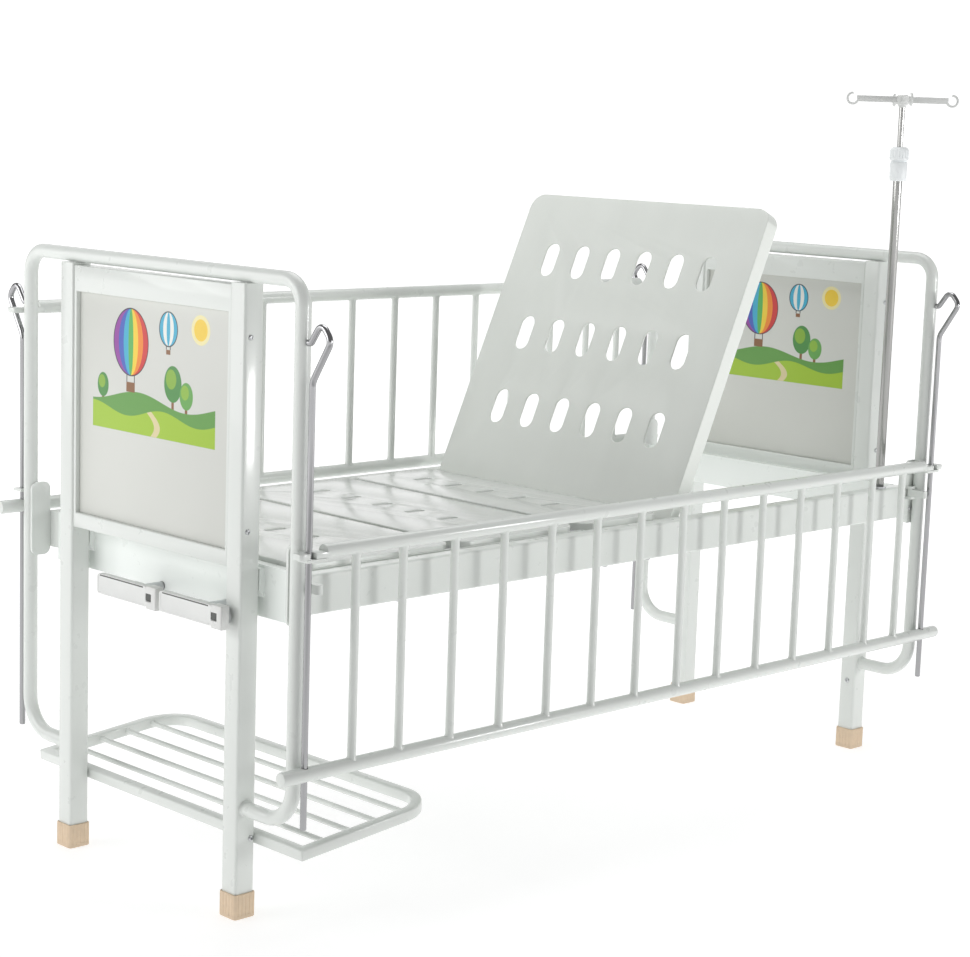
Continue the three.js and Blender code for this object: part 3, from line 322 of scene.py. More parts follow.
@dataclass(frozen=True)
class Finish:
    """A finish: its name, material slot, colour and roughness."""

    name: str
    slot: Slot
    colour: Colour
    roughness: float

    def make(self) -> bpy.types.Material:
        """The finish as a material, laid the first time that it is asked for.

        Returns:
            The material.
        """
        known = bpy.data.materials.get(self.name)
        if known:
            return known
        paint = Paint(self.name)
        self.lay(paint)
        return paint.material

    def lay(self, paint: Paint) -> None:
        """Lays the finish on an empty paint."""
        raise NotImplementedError

    def toned(self, paint: Paint, mask: Wire, tones: Span) -> Wire:
        """The colour, drifting with a mask between two shades of itself."""
        return paint.mix(mask, shade(self.colour, tones[0]), shade(self.colour, tones[1]))

    def uneven(self, *parts: tuple[float, Wire]) -> Number:
        """The roughness, made uneven by so much of each noise.

        Args:
            parts: How much of a noise, and the noise.

        Returns:
            The roughness.
        """
        total: Number = self.roughness
        for amount, noise in parts:
            total = total + amount * (noise - 0.5)
        return total


@dataclass(frozen=True)
class PowderCoat(Finish):
    """Gloss powder coat with a faint orange peel and slight unevenness of tone."""

    tone_scale: float = 3.0
    tones: Span = (0.965, 1.03)
    cloud_scale: float = 38.0
    cloud: float = 0.16
    gloss: float = 0.5
    gloss_roughness: float = 0.1
    peel_scale: float = 420.0
    peel_strength: float = 0.04
    peel_depth: float = 0.0003

    def lay(self, paint: Paint) -> None:
        """Lays tone, gloss and orange peel.

        Args:
            paint: The empty paint.
        """
        tone = paint.noise(self.tone_scale, 3.0)
        cloud = paint.noise(self.cloud_scale, 4.0)
        paint.set("Base Color", self.toned(paint, tone, self.tones))
        paint.set("Roughness", self.uneven((self.cloud, cloud)))
        paint.set("Coat Weight", self.gloss)
        paint.set("Coat Roughness", self.gloss_roughness)
        paint.bump(paint.noise(self.peel_scale, 1.0), self.peel_strength, self.peel_depth)


@dataclass(frozen=True)
class MouldedBoard(Finish):
    """Moulded deck board with a fine grain in its skin, slight flow marks and long sides painted paler,
    a painted highlight.
    """

    flow_scale: float = 5.0
    flow_stretch: Place = (1.0, 2.6, 1.0)
    flow: float = 0.1
    tones: Span = (0.955, 1.035)
    grain_scale: float = 1500.0
    grain: float = 0.14
    grain_strength: float = 0.16
    grain_depth: float = 0.0004
    # Where the painted highlight on the board's long sides starts, out from the middle, and how much
    # paler it paints them.
    side_y: float = 328.5
    painted_highlight_tone: float = 1.2
    gloss: float = 0.3
    gloss_roughness: float = 0.22

    def lay(self, paint: Paint) -> None:
        """Lays flow marks, grain, satin gloss and the painted highlight on the long sides.

        Args:
            paint: The empty paint.
        """
        flow = paint.noise(self.flow_scale, 4.0, self.flow_stretch)
        grain = paint.noise(self.grain_scale, 3.0)
        _, across, _ = paint.axes()
        colour = self.toned(paint, flow, self.tones)
        # Painted highlight: the board's long sides, out past a set distance from the middle, are painted
        # paler, as if light caught them.
        side = (abs(across) * PER_METRE - self.side_y).held()
        paint.set("Base Color", paint.mix(side, colour, shade(self.colour, self.painted_highlight_tone)))
        paint.set("Roughness", self.uneven((self.grain, grain), (self.flow, flow)))
        paint.set("Coat Weight", self.gloss)
        paint.set("Coat Roughness", self.gloss_roughness)
        paint.bump(grain, self.grain_strength, self.grain_depth)


@dataclass(frozen=True)
class Motif:
    """An oval patch of the print: its middle, half width, half height and colour."""

    y: float
    z: float
    wide: float
    tall: float
    colour: Colour


@dataclass(frozen=True)
class PrintedSheet(Finish):
    """End panel sheet with a printed landscape of hills, trees, a sun and two striped balloons."""

    tone_scale: float = 4.0
    tone: float = 0.06
    tones: Span = (0.97, 1.03)
    skin_scale: float = 900.0
    skin: float = 0.1
    skin_strength: float = 0.08
    skin_depth: float = 0.0003
    gloss: float = 0.2
    gloss_roughness: float = 0.25
    field_y: Span = (-177.0, 177.0)
    field_z: Span = (795.0, 995.0)
    far_hill: tuple[float, float, float, float] = (858.0, 11.0, 0.023, 0.6)
    near_hill: tuple[float, float, float, float] = (834.0, 9.0, 0.031, 2.4)
    lane_half: float = 9.0
    lane_y: float = 10.0
    lane_swing: float = 24.0
    lane_waves: float = 0.06
    trunk_half: float = 4.0
    trunk_foot: float = 815.0
    rope_half: float = 1.6
    rope_part: float = 0.85
    basket_part: float = 0.26
    basket_drop: Span = (2.3, 0.9)
    outline: float = 2.0
    sand: Colour = (0.72, 0.63, 0.36)
    ink: Colour = (0.02, 0.025, 0.03)
    lime: Colour = (0.36, 0.56, 0.03)
    moss: Colour = (0.12, 0.33, 0.06)
    wood: Colour = (0.25, 0.11, 0.04)
    stripes: tuple[Colour, ...] = (
        (0.62, 0.03, 0.03), (0.85, 0.25, 0.02), (0.88, 0.62, 0.04), (0.10, 0.45, 0.10),
        (0.05, 0.42, 0.62), (0.06, 0.12, 0.50), (0.30, 0.06, 0.36),
    )
    small_stripes: tuple[Colour, ...] = (
        (0.05, 0.42, 0.62), (0.82, 0.84, 0.80), (0.05, 0.42, 0.62), (0.82, 0.84, 0.80),
        (0.05, 0.42, 0.62),
    )
    big_balloon: Motif = Motif(64.0, 954.0, 50.0, 58.0, ink)
    small_balloon: Motif = Motif(-44.0, 986.0, 25.0, 29.0, ink)
    halo: Motif = Motif(-134.0, 992.0, 26.0, 26.0, (0.88, 0.80, 0.42))
    sun: Motif = Motif(-134.0, 992.0, 19.0, 19.0, (0.90, 0.62, 0.05))
    crowns: tuple[Motif, ...] = (
        Motif(-58.0, 893.0, 25.0, 32.0, (0.07, 0.27, 0.06)),
        Motif(-96.0, 876.0, 19.0, 24.0, (0.13, 0.38, 0.08)),
        Motif(146.0, 872.0, 17.0, 22.0, (0.07, 0.27, 0.06)),
    )

    def oval(self, y: Wire, z: Wire, motif: Motif, grow: float = 0.0) -> Wire:
        """The mask of an oval patch.

        Args:
            y: Distance across the sheet.
            z: Height.
            motif: The patch.
            grow: How far its edge moves out.

        Returns:
            1 inside, 0 outside.
        """
        wide, tall = motif.wide + grow, motif.tall + grow
        across, up = (y - motif.y) / wide, (z - motif.z) / tall
        return ((1.0 - (across * across + up * up)) * (wide * 0.6)).held()

    def panel(self, y: Wire, z: Wire, sides: Span, heights: Span) -> Wire:
        """The mask of an upright rectangle between two sides and two heights."""
        across = (((sides[1] - sides[0]) / 2) - abs(y - (sides[0] + sides[1]) / 2)).held()
        return across * (((heights[1] - heights[0]) / 2) - abs(z - (heights[0] + heights[1]) / 2)).held()

    def hill(self, y: Wire, z: Wire, shape: tuple[float, float, float, float]) -> Wire:
        """The mask below a hill's line, from its height, swell, waves and where they start."""
        height, swell, waves, start = shape
        return ((height + swell * (y * waves + start).sine()) - z).held()

    def balloon(
        self, paint: Paint, under: Wire, y: Wire, z: Wire, motif: Motif, bands: Sequence[Colour]
    ) -> Wire:
        """Prints a striped balloon with its ropes and basket.

        Args:
            paint: The paint that it is laid on.
            under: The colour so far.
            y: Distance across the sheet.
            z: Height.
            motif: The balloon's envelope.
            bands: Its stripes.

        Returns:
            The colour with the balloon.
        """
        up = (z - motif.z) / motif.tall
        girth = (1.0 - up * up).held() ** 0.5 + 0.001
        turn = ((y - motif.y) / (girth * (2 * motif.wide)) + 0.5).held()
        stops = [(n / len(bands), colour) for n, colour in enumerate(bands)]
        stripe = paint.node("ShaderNodeValToRGB", {"stops": stops}, {0: turn})
        foot = motif.z - motif.tall
        half = motif.wide * self.basket_part
        rope = abs(abs(y - motif.y) - half * self.rope_part)
        sides = (motif.y - motif.wide, motif.y + motif.wide)
        ropes = (self.rope_half - rope).held() * self.panel(y, z, sides, (foot - half, foot + 6))
        sides = (motif.y - half, motif.y + half)
        low, high = [foot - part * half for part in self.basket_drop]
        basket = self.panel(y, z, sides, (low, high))
        made = paint.mix(ropes, under, self.ink)
        made = paint.mix(basket, made, self.wood)
        made = paint.mix(self.oval(y, z, motif, self.outline), made, self.ink)
        return paint.mix(self.oval(y, z, motif), made, stripe)

    def lay(self, paint: Paint) -> None:
        """Lays the sheet's sheen, then prints the landscape on it.

        Args:
            paint: The empty paint.
        """
        _, across, height = paint.axes()
        y, z = across * PER_METRE, height * PER_METRE
        tone = paint.noise(self.tone_scale, 3.0)
        skin = paint.noise(self.skin_scale, 2.0)
        colour = self.toned(paint, tone, self.tones)
        for crown in self.crowns:
            sides = (crown.y - self.trunk_half, crown.y + self.trunk_half)
            colour = paint.mix(self.panel(y, z, sides, (self.trunk_foot, crown.z)), colour, self.wood)
            colour = paint.mix(self.oval(y, z, crown), colour, crown.colour)
            light = Motif(
                crown.y + crown.wide * 0.2, crown.z + crown.tall * 0.25,
                crown.wide * 0.6, crown.tall * 0.55, self.lime)
            colour = paint.mix(self.oval(y, z, light) * 0.6, colour, light.colour)
        ground = self.panel(y, z, self.field_y, self.field_z)
        far_hill, near_hill = self.hill(y, z, self.far_hill), self.hill(y, z, self.near_hill)
        colour = paint.mix(ground * far_hill, colour, self.moss)
        colour = paint.mix(ground * near_hill, colour, self.lime)
        middle = y - self.lane_swing * (z * self.lane_waves).sine() - self.lane_y
        lane = (self.lane_half - abs(middle)).held()
        colour = paint.mix(ground * near_hill * lane, colour, self.sand)
        for disc in (self.halo, self.sun):
            colour = paint.mix(self.oval(y, z, disc), colour, disc.colour)
        colour = self.balloon(paint, colour, y, z, self.big_balloon, self.stripes)
        colour = self.balloon(paint, colour, y, z, self.small_balloon, self.small_stripes)
        paint.set("Base Color", colour)
        paint.set("Roughness", self.uneven((self.skin, skin), (self.tone, tone)))
        paint.set("Coat Weight", self.gloss)
        paint.set("Coat Roughness", self.gloss_roughness)
        paint.bump(skin, self.skin_strength, self.skin_depth)


@dataclass(frozen=True)
class CapPlastic(Finish):
    """Soft tan plastic, a little mottled, and darker towards the floor in patches."""

    mottle_scale: float = 120.0
    mottle: float = 0.2
    tones: Span = (0.9, 1.08)
    # How high the darkening towards the floor reaches, how strongly it shows and how dark it goes.
    low_dark_height: float = 0.012
    low_dark: float = 0.5
    low_dark_tone: float = 0.55
    skin_scale: float = 1400.0
    skin_strength: float = 0.25
    skin_depth: float = 0.0004

    def lay(self, paint: Paint) -> None:
        """Lays mottling, darkening towards the floor and a matt skin.

        Args:
            paint: The empty paint.
        """
        _, _, height = paint.axes()
        mottle = paint.noise(self.mottle_scale, 4.0)
        skin = paint.noise(self.skin_scale, 2.0)
        # The lowest few millimetres are made darker, in patches of the mottle.
        low_dark = (1.0 - height / self.low_dark_height).held() * mottle
        colour = self.toned(paint, mottle, self.tones)
        low_dark_colour = shade(self.colour, self.low_dark_tone)
        paint.set("Base Color", paint.mix(low_dark * self.low_dark, colour, low_dark_colour))
        paint.set("Roughness", self.uneven((self.mottle, mottle)))
        paint.bump(skin, self.skin_strength, self.skin_depth)


@dataclass(frozen=True)
class PolishedMetal(Finish):
    """Plated or polished metal with fine draw lines along its length and faint haze."""

    along: Place = (1.0, 1.0, 0.03)
    line_scale: float = 700.0
    line: float = 0.06
    line_strength: float = 0.05
    line_depth: float = 0.0003
    haze_scale: float = 16.0
    haze: float = 0.1
    tones: Span = (0.93, 1.05)

    def lay(self, paint: Paint) -> None:
        """Lays haze and draw lines.

        Args:
            paint: The empty paint.
        """
        lines = paint.noise(self.line_scale, 3.0, self.along)
        haze = paint.noise(self.haze_scale, 4.0)
        paint.set("Base Color", self.toned(paint, haze, self.tones))
        paint.set("Metallic", 1.0)
        paint.set("Roughness", self.uneven((self.haze, haze), (self.line, lines)))
        paint.bump(lines, self.line_strength, self.line_depth)


@dataclass(frozen=True)
class ThreadedMetal(Finish):
    """Zinc plated screw: a thread of the given pitch along X under the same haze."""

    pitch: float = 4.0
    start: float = -840.0
    run_in: float = 0.2
    thread_strength: float = 0.9
    thread_depth: float = 0.0014
    haze_scale: float = 60.0
    haze: float = 0.2
    tones: Span = (0.85, 1.08)

    def lay(self, paint: Paint) -> None:
        """Lays the thread beyond its start, and the plating.

        Args:
            paint: The empty paint.
        """
        along, _, _ = paint.axes()
        run = along * (PER_METRE / self.pitch)
        tooth = abs(run.fraction() - 0.5) * 2.0
        cut = ((along * PER_METRE - self.start) * self.run_in).held()
        haze = paint.noise(self.haze_scale, 4.0)
        paint.set("Base Color", self.toned(paint, haze, self.tones))
        paint.set("Metallic", 1.0)
        paint.set("Roughness", self.uneven((self.haze, haze)))
        paint.bump(tooth * cut, self.thread_strength, self.thread_depth)


@dataclass(frozen=True)
class MouldedPlastic(Finish):
    """Hard moulded plastic with a spark eroded skin."""

    drift_scale: float = 22.0
    tones: Span = (0.94, 1.05)
    skin_scale: float = 1100.0
    skin: float = 0.18
    skin_strength: float = 0.25
    skin_depth: float = 0.0005

    def lay(self, paint: Paint) -> None:
        """Lays the eroded skin and slight colour drift.

        Args:
            paint: The empty paint.
        """
        drift = paint.noise(self.drift_scale, 3.0)
        skin = paint.noise(self.skin_scale, 3.0)
        paint.set("Base Color", self.toned(paint, drift, self.tones))
        paint.set("Roughness", self.uneven((self.skin, skin)))
        paint.bump(skin, self.skin_strength, self.skin_depth)


COAT = PowderCoat("coat_white_gloss", Slot.WHITE_COAT, (0.77, 0.80, 0.77), 0.3)
# A paler copy of the white coat for the beams: painted light, making up for the light that the end board
# above keeps off them.
PAINTED_LIGHT_BEAM_COAT = PowderCoat("coat_beam_gloss", Slot.WHITE_COAT, (0.90, 0.94, 0.91), 0.3)
BACK_BOARD = MouldedBoard("board_back_satin", Slot.DECK_BOARD, (0.78, 0.81, 0.77), 0.36)
LEVEL_BOARD = MouldedBoard("board_level_gloss", Slot.DECK_BOARD, (0.74, 0.765, 0.74), 0.2)
SHEET = PrintedSheet("sheet_printed", Slot.END_PANEL, (0.67, 0.68, 0.64), 0.42)
TAN = CapPlastic("cap_tan_plastic", Slot.FOOT_CAP, (0.80, 0.63, 0.455), 0.62)
CHROME = PolishedMetal("rod_bright_plate", Slot.CHROME, (0.41, 0.41, 0.42), 0.14)
SATIN = PolishedMetal("pole_satin_plate", Slot.CHROME, (0.40, 0.40, 0.39), 0.2)
STEEL = PolishedMetal("steel_zinc_plate", Slot.STEEL, (0.58, 0.59, 0.60), 0.3, (1.0, 0.05, 1.0))
THREAD = ThreadedMetal("screw_zinc_thread", Slot.STEEL, (0.55, 0.56, 0.57), 0.32)
GREY = MouldedPlastic("grip_grey_plastic", Slot.GRIP, (0.79, 0.80, 0.785), 0.4)
BRACKET = MouldedPlastic("knuckle_grey_plastic", Slot.KNUCKLE, (0.76, 0.765, 0.75), 0.42)
# Dark plastic of the handle's tongue; on the grip's top strip the same finish is painted shadow.
DARK = MouldedPlastic("knuckle_dark_plastic", Slot.KNUCKLE, (0.1, 0.105, 0.1), 0.45)
HOOK_GREY = MouldedPlastic("hook_grey_coat", Slot.CHROME, (0.66, 0.67, 0.66), 0.34)
PALE = MouldedPlastic("collar_pale_plastic", Slot.COLLAR, (0.88, 0.91, 0.92), 0.38)


# ---------------------------------------------------------------------------
# Workshop


class Bench:
    """Hand moves on a mesh, made with Blender's operators."""

    @staticmethod
    def rest() -> None:
        """Leaves edit mode and deselects everything."""
        if bpy.context.mode != "OBJECT":
            bpy.ops.object.mode_set(mode="OBJECT")
        bpy.ops.object.select_all(action="DESELECT")

    @staticmethod
    def take(*pieces: bpy.types.Object) -> None:
        """Selects just these pieces and makes the first active.

        Args:
            pieces: The pieces.
        """
        Bench.rest()
        for piece in pieces:
            piece.select_set(True)
        bpy.context.view_layer.objects.active = pieces[0]

    @staticmethod
    def apply_place() -> None:
        """Moves the active object's place, turn and scale into its mesh."""
        bpy.ops.object.transform_apply(location=True, rotation=True, scale=True)

    @staticmethod
    def block(low: Vector, high: Vector) -> bpy.types.Object:
        """A cube pulled to the box between two corners.

        Args:
            low: The lowest corner.
            high: The highest corner.

        Returns:
            The new object.
        """
        Bench.rest()
        bpy.ops.mesh.primitive_cube_add(size=1.0, location=(low + high) / 2)
        piece = bpy.context.object
        piece.scale = high - low
        Bench.apply_place()
        return piece

    @staticmethod
    def disc(centre: Vector, heading: Vector, radius: float, sides: int) -> bpy.types.Object:
        """A filled circle, left in edit mode with its face selected.

        Args:
            centre: Its middle.
            heading: The way it faces.
            radius: Its radius, in millimetres.
            sides: How many sides it has.

        Returns:
            The new object.
        """
        Bench.rest()
        turn = heading.to_track_quat("Z", "Y").to_euler()
        bpy.ops.mesh.primitive_circle_add(
            vertices=sides, radius=radius * MM, fill_type="NGON", location=centre, rotation=turn
        )
        piece = bpy.context.object
        Bench.apply_place()
        bpy.ops.object.mode_set(mode="EDIT")
        bpy.ops.mesh.select_mode(type="FACE")
        bpy.ops.mesh.select_all(action="SELECT")
        return piece

    @staticmethod
    def pull(move: Vector) -> None:
        """Extrudes what is selected."""
        bpy.ops.mesh.extrude_region_move(TRANSFORM_OT_translate={"value": tuple(move)})

    @staticmethod
    def turned(
        base: Vector, heading: Vector, profile: Profile, sides: int = 32
    ) -> bpy.types.Object:
        """A turned solid, pulled and resized out of one disc.

        Args:
            base: The point of its axis that heights are counted from.
            heading: The way its axis points.
            profile: Radius and height of each step, in millimetres.
            sides: How many sides it has.

        Returns:
            The new object.
        """
        axis = heading.normalized()
        radius, height = profile[0]
        piece = Bench.disc(base + axis * height * MM, axis, radius, sides)
        for wide, high in profile[1:]:
            Bench.pull(axis * (high - height) * MM)
            if wide != radius:
                centre = tuple(base + axis * high * MM)
                bpy.ops.transform.resize(value=(wide / radius,) * 3, center_override=centre)
            radius, height = wide, high
        Bench.rest()
        return piece

    @staticmethod
    def faces(piece: bpy.types.Object, test: Callable[[Vector, Vector], bool]) -> None:
        """Goes into edit mode with the faces selected whose middle and normal pass a test.

        Args:
            piece: The piece.
            test: Takes the middle and the normal of a face.
        """
        Bench.take(piece)
        bpy.ops.object.mode_set(mode="EDIT")
        bpy.ops.mesh.select_mode(type="FACE")
        bpy.ops.mesh.select_all(action="DESELECT")
        bpy.ops.object.mode_set(mode="OBJECT")
        for face in piece.data.polygons:
            face.select = test(face.center, face.normal)
        bpy.ops.object.mode_set(mode="EDIT")

    @staticmethod
    def edges(piece: bpy.types.Object, test: Callable[[Vector, Vector], bool]) -> None:
        """Goes into edit mode with the edges selected whose two ends pass a test.

        Args:
            piece: The piece.
            test: Takes the two ends of an edge.
        """
        Bench.take(piece)
        bpy.ops.object.mode_set(mode="EDIT")
        bpy.ops.mesh.select_mode(type="EDGE")
        bpy.ops.mesh.select_all(action="DESELECT")
        bpy.ops.object.mode_set(mode="OBJECT")
        points = piece.data.vertices
        for edge in piece.data.edges:
            edge.select = test(points[edge.vertices[0]].co, points[edge.vertices[1]].co)
        bpy.ops.object.mode_set(mode="EDIT")

    @staticmethod
    def round_along(piece: bpy.types.Object, axis: int, radius: float, steps: int = 5) -> None:
        """Rounds the straight edges that run along one axis.

        Args:
            piece: The piece, a block.
            axis: 0, 1 or 2.
            radius: The radius, in millimetres.
            steps: How many faces make the round.
        """
        others = [n for n in range(3) if n != axis]
        Bench.edges(piece, lambda a, b: all(abs(a[n] - b[n]) < 1e-6 for n in others))
        bpy.ops.mesh.bevel(offset=radius * MM, segments=steps, profile=0.5, affect="EDGES")
        Bench.rest()

    @staticmethod
    def ease(piece: bpy.types.Object, width: float, steps: int = 2, angle: float = 40.0) -> None:
        """Rounds every edge sharper than an angle with a Bevel modifier, which is applied.

        Args:
            piece: The piece.
            width: How far from the edge the round starts, in millimetres.
            steps: How many faces make the round.
            angle: The angle, in degrees.
        """
        Bench.take(piece)
        tool = piece.modifiers.new("ease", "BEVEL")
        tool.width = width * MM
        tool.segments = steps
        tool.limit_method = "ANGLE"
        tool.angle_limit = math.radians(angle)
        tool.use_clamp_overlap = True
        bpy.ops.object.modifier_apply(modifier=tool.name)
        Bench.rest()

    @staticmethod
    def cut(piece: bpy.types.Object, cutter: bpy.types.Object) -> None:
        """Takes the cutter out of the piece with a Boolean modifier, and removes the cutter.

        Args:
            piece: The piece.
            cutter: What is taken out of it.
        """
        Bench.take(piece)
        tool = piece.modifiers.new("cut", "BOOLEAN")
        tool.operation = "DIFFERENCE"
        tool.solver = "EXACT"
        tool.object = cutter
        bpy.ops.object.modifier_apply(modifier=tool.name)
        Bench.drop(cutter)
        Bench.rest()

    @staticmethod
    def drop(piece: bpy.types.Object) -> None:
        """Removes a piece that has done its work."""
        bpy.data.objects.remove(piece, do_unlink=True)

    @staticmethod
    def lean(piece: bpy.types.Object, centre: Vector, angle: float) -> None:
        """Turns a piece by so many degrees round Y, about a point.

        Args:
            piece: The piece.
            centre: The point.
            angle: The angle, in degrees.
        """
        Bench.take(piece)
        piece.matrix_world = about(centre, angle, "Y")
        Bench.apply_place()

    @staticmethod
    def copy(piece: bpy.types.Object, move: Matrix) -> bpy.types.Object:
        """A copy with its own mesh, put elsewhere by a matrix.

        Args:
            piece: The piece.
            move: The matrix.

        Returns:
            The copy.
        """
        Bench.take(piece)
        bpy.ops.object.duplicate(linked=False)
        twin = bpy.context.object
        twin.matrix_world = move @ twin.matrix_world
        Bench.apply_place()
        Bench.rest()
        return twin

    @staticmethod
    def row(piece: bpy.types.Object, moves: Iterable[Vector]) -> bpy.types.Object:
        """The piece and a copy at each move, joined."""
        twins = [Bench.copy(piece, Matrix.Translation(move)) for move in moves]
        return Bench.join(piece, *twins)

    @staticmethod
    def join(*pieces: bpy.types.Object) -> bpy.types.Object:
        """All the pieces as one object.

        Args:
            pieces: The pieces.

        Returns:
            The first of them, with the others in it.
        """
        Bench.take(*pieces)
        if len(pieces) > 1:
            bpy.ops.object.join()
        Bench.rest()
        return pieces[0]

    @staticmethod
    def settle(
        piece: bpy.types.Object,
        name: str,
        finish: Finish,
        body: str,
        stands_for: Sequence[str] = (),
        angle: float = 35.0,
    ) -> bpy.types.Object:
        """Closes and smooths a finished mesh, dresses it and hangs it on its body.

        Args:
            piece: The piece.
            name: Its name.
            finish: Its finish.
            body: The body that it rides on.
            stands_for: The CAD nodes that it replaces.
            angle: Edges under this angle are shaded smooth, in degrees.

        Returns:
            The piece.
        """
        Bench.take(piece)
        bpy.ops.object.mode_set(mode="EDIT")
        bpy.ops.mesh.select_all(action="SELECT")
        bpy.ops.mesh.remove_doubles(threshold=1e-6)
        bpy.ops.mesh.normals_make_consistent(inside=False)
        bpy.ops.object.mode_set(mode="OBJECT")
        bpy.ops.object.shade_smooth_by_angle(angle=math.radians(angle))
        Bench.rest()
        piece.name = name
        piece.data.name = name
        piece.data.materials.clear()
        piece.data.materials.append(finish.make())
        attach(piece, body)
        if stands_for:
            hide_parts(*stands_for)
        LOG.info("%s rides on %s, %d faces", name, body, len(piece.data.polygons))
        return piece

    @staticmethod
    def dress(finish: Finish, *nodes: str) -> None:
        """Puts a finish on CAD nodes whose shape stays.

        Args:
            finish: The finish.
            nodes: The nodes' names.
        """
        for name in nodes:
            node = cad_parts[name]
            if not node.material_slots:
                node.data.materials.append(finish.make())
            for holder in node.material_slots:
                holder.material = finish.make()
            LOG.info("%s keeps its shape and is dressed in %s", name, finish.name)


class Tube:
    """A round tube, pulled and bent out of one disc."""

    def __init__(self, start: Vector, heading: Vector, diameter: float, sides: int) -> None:
        """Starts the tube.

        Args:
            start: Where its middle line starts.
            heading: The way it leaves.
            diameter: Its diameter, in millimetres.
            sides: How many sides it has.
        """
        self.tip = start.copy()
        self.heading = heading.normalized()
        self.piece = Bench.disc(start, self.heading, diameter / 2, sides)

    def pull(self, length: float) -> None:
        """Goes straight on for a length, in metres.

        Args:
            length: The length.
        """
        if length > 1e-6:
            Bench.pull(self.heading * length)
            self.tip += self.heading * length

    def bend(self, heading: Vector, radius: float, steps: int) -> None:
        """Bends round to a new heading.

        Args:
            heading: The new heading, of length 1.
            radius: The radius of the middle line, in metres.
            steps: How many rings make the bend.
        """
        axis = self.heading.cross(heading).normalized()
        angle = self.heading.angle(heading)
        centre = self.tip + axis.cross(self.heading) * radius
        bpy.ops.mesh.spin(steps=steps, angle=-angle, center=tuple(centre), axis=tuple(axis))
        turn = Matrix.Rotation(angle, 3, axis)
        self.tip = centre + turn @ (self.tip - centre)
        self.heading = heading.copy()

    @classmethod
    def along(
        cls,
        corners: Sequence[Vector],
        bends: Sequence[float],
        diameter: float,
        sides: int = 28,
        steps: int = 10,
        eased: float = 1.2,
    ) -> bpy.types.Object:
        """A tube along a line with rounded corners.

        Args:
            corners: The line's points.
            bends: The radius at each inner point, in millimetres.
            diameter: The tube's diameter, in millimetres.
            sides: How many sides it has.
            steps: How many rings make each bend.
            eased: How far its end edges are rounded, in millimetres.

        Returns:
            The tube.
        """
        run = cls(corners[0], corners[1] - corners[0], diameter, sides)
        for corner, after, bend in zip(corners[1:-1], corners[2:], bends):
            leaving = (after - corner).normalized()
            setback = bend * MM * math.tan(run.heading.angle(leaving) / 2)
            run.pull((corner - run.tip).length - setback)
            run.bend(leaving, bend * MM, steps)
        run.pull((corners[-1] - run.tip).length)
        Bench.rest()
        Bench.ease(run.piece, eased, 2, SQUARE_EDGES)
        return run.piece


# ---------------------------------------------------------------------------
# Sub-assemblies


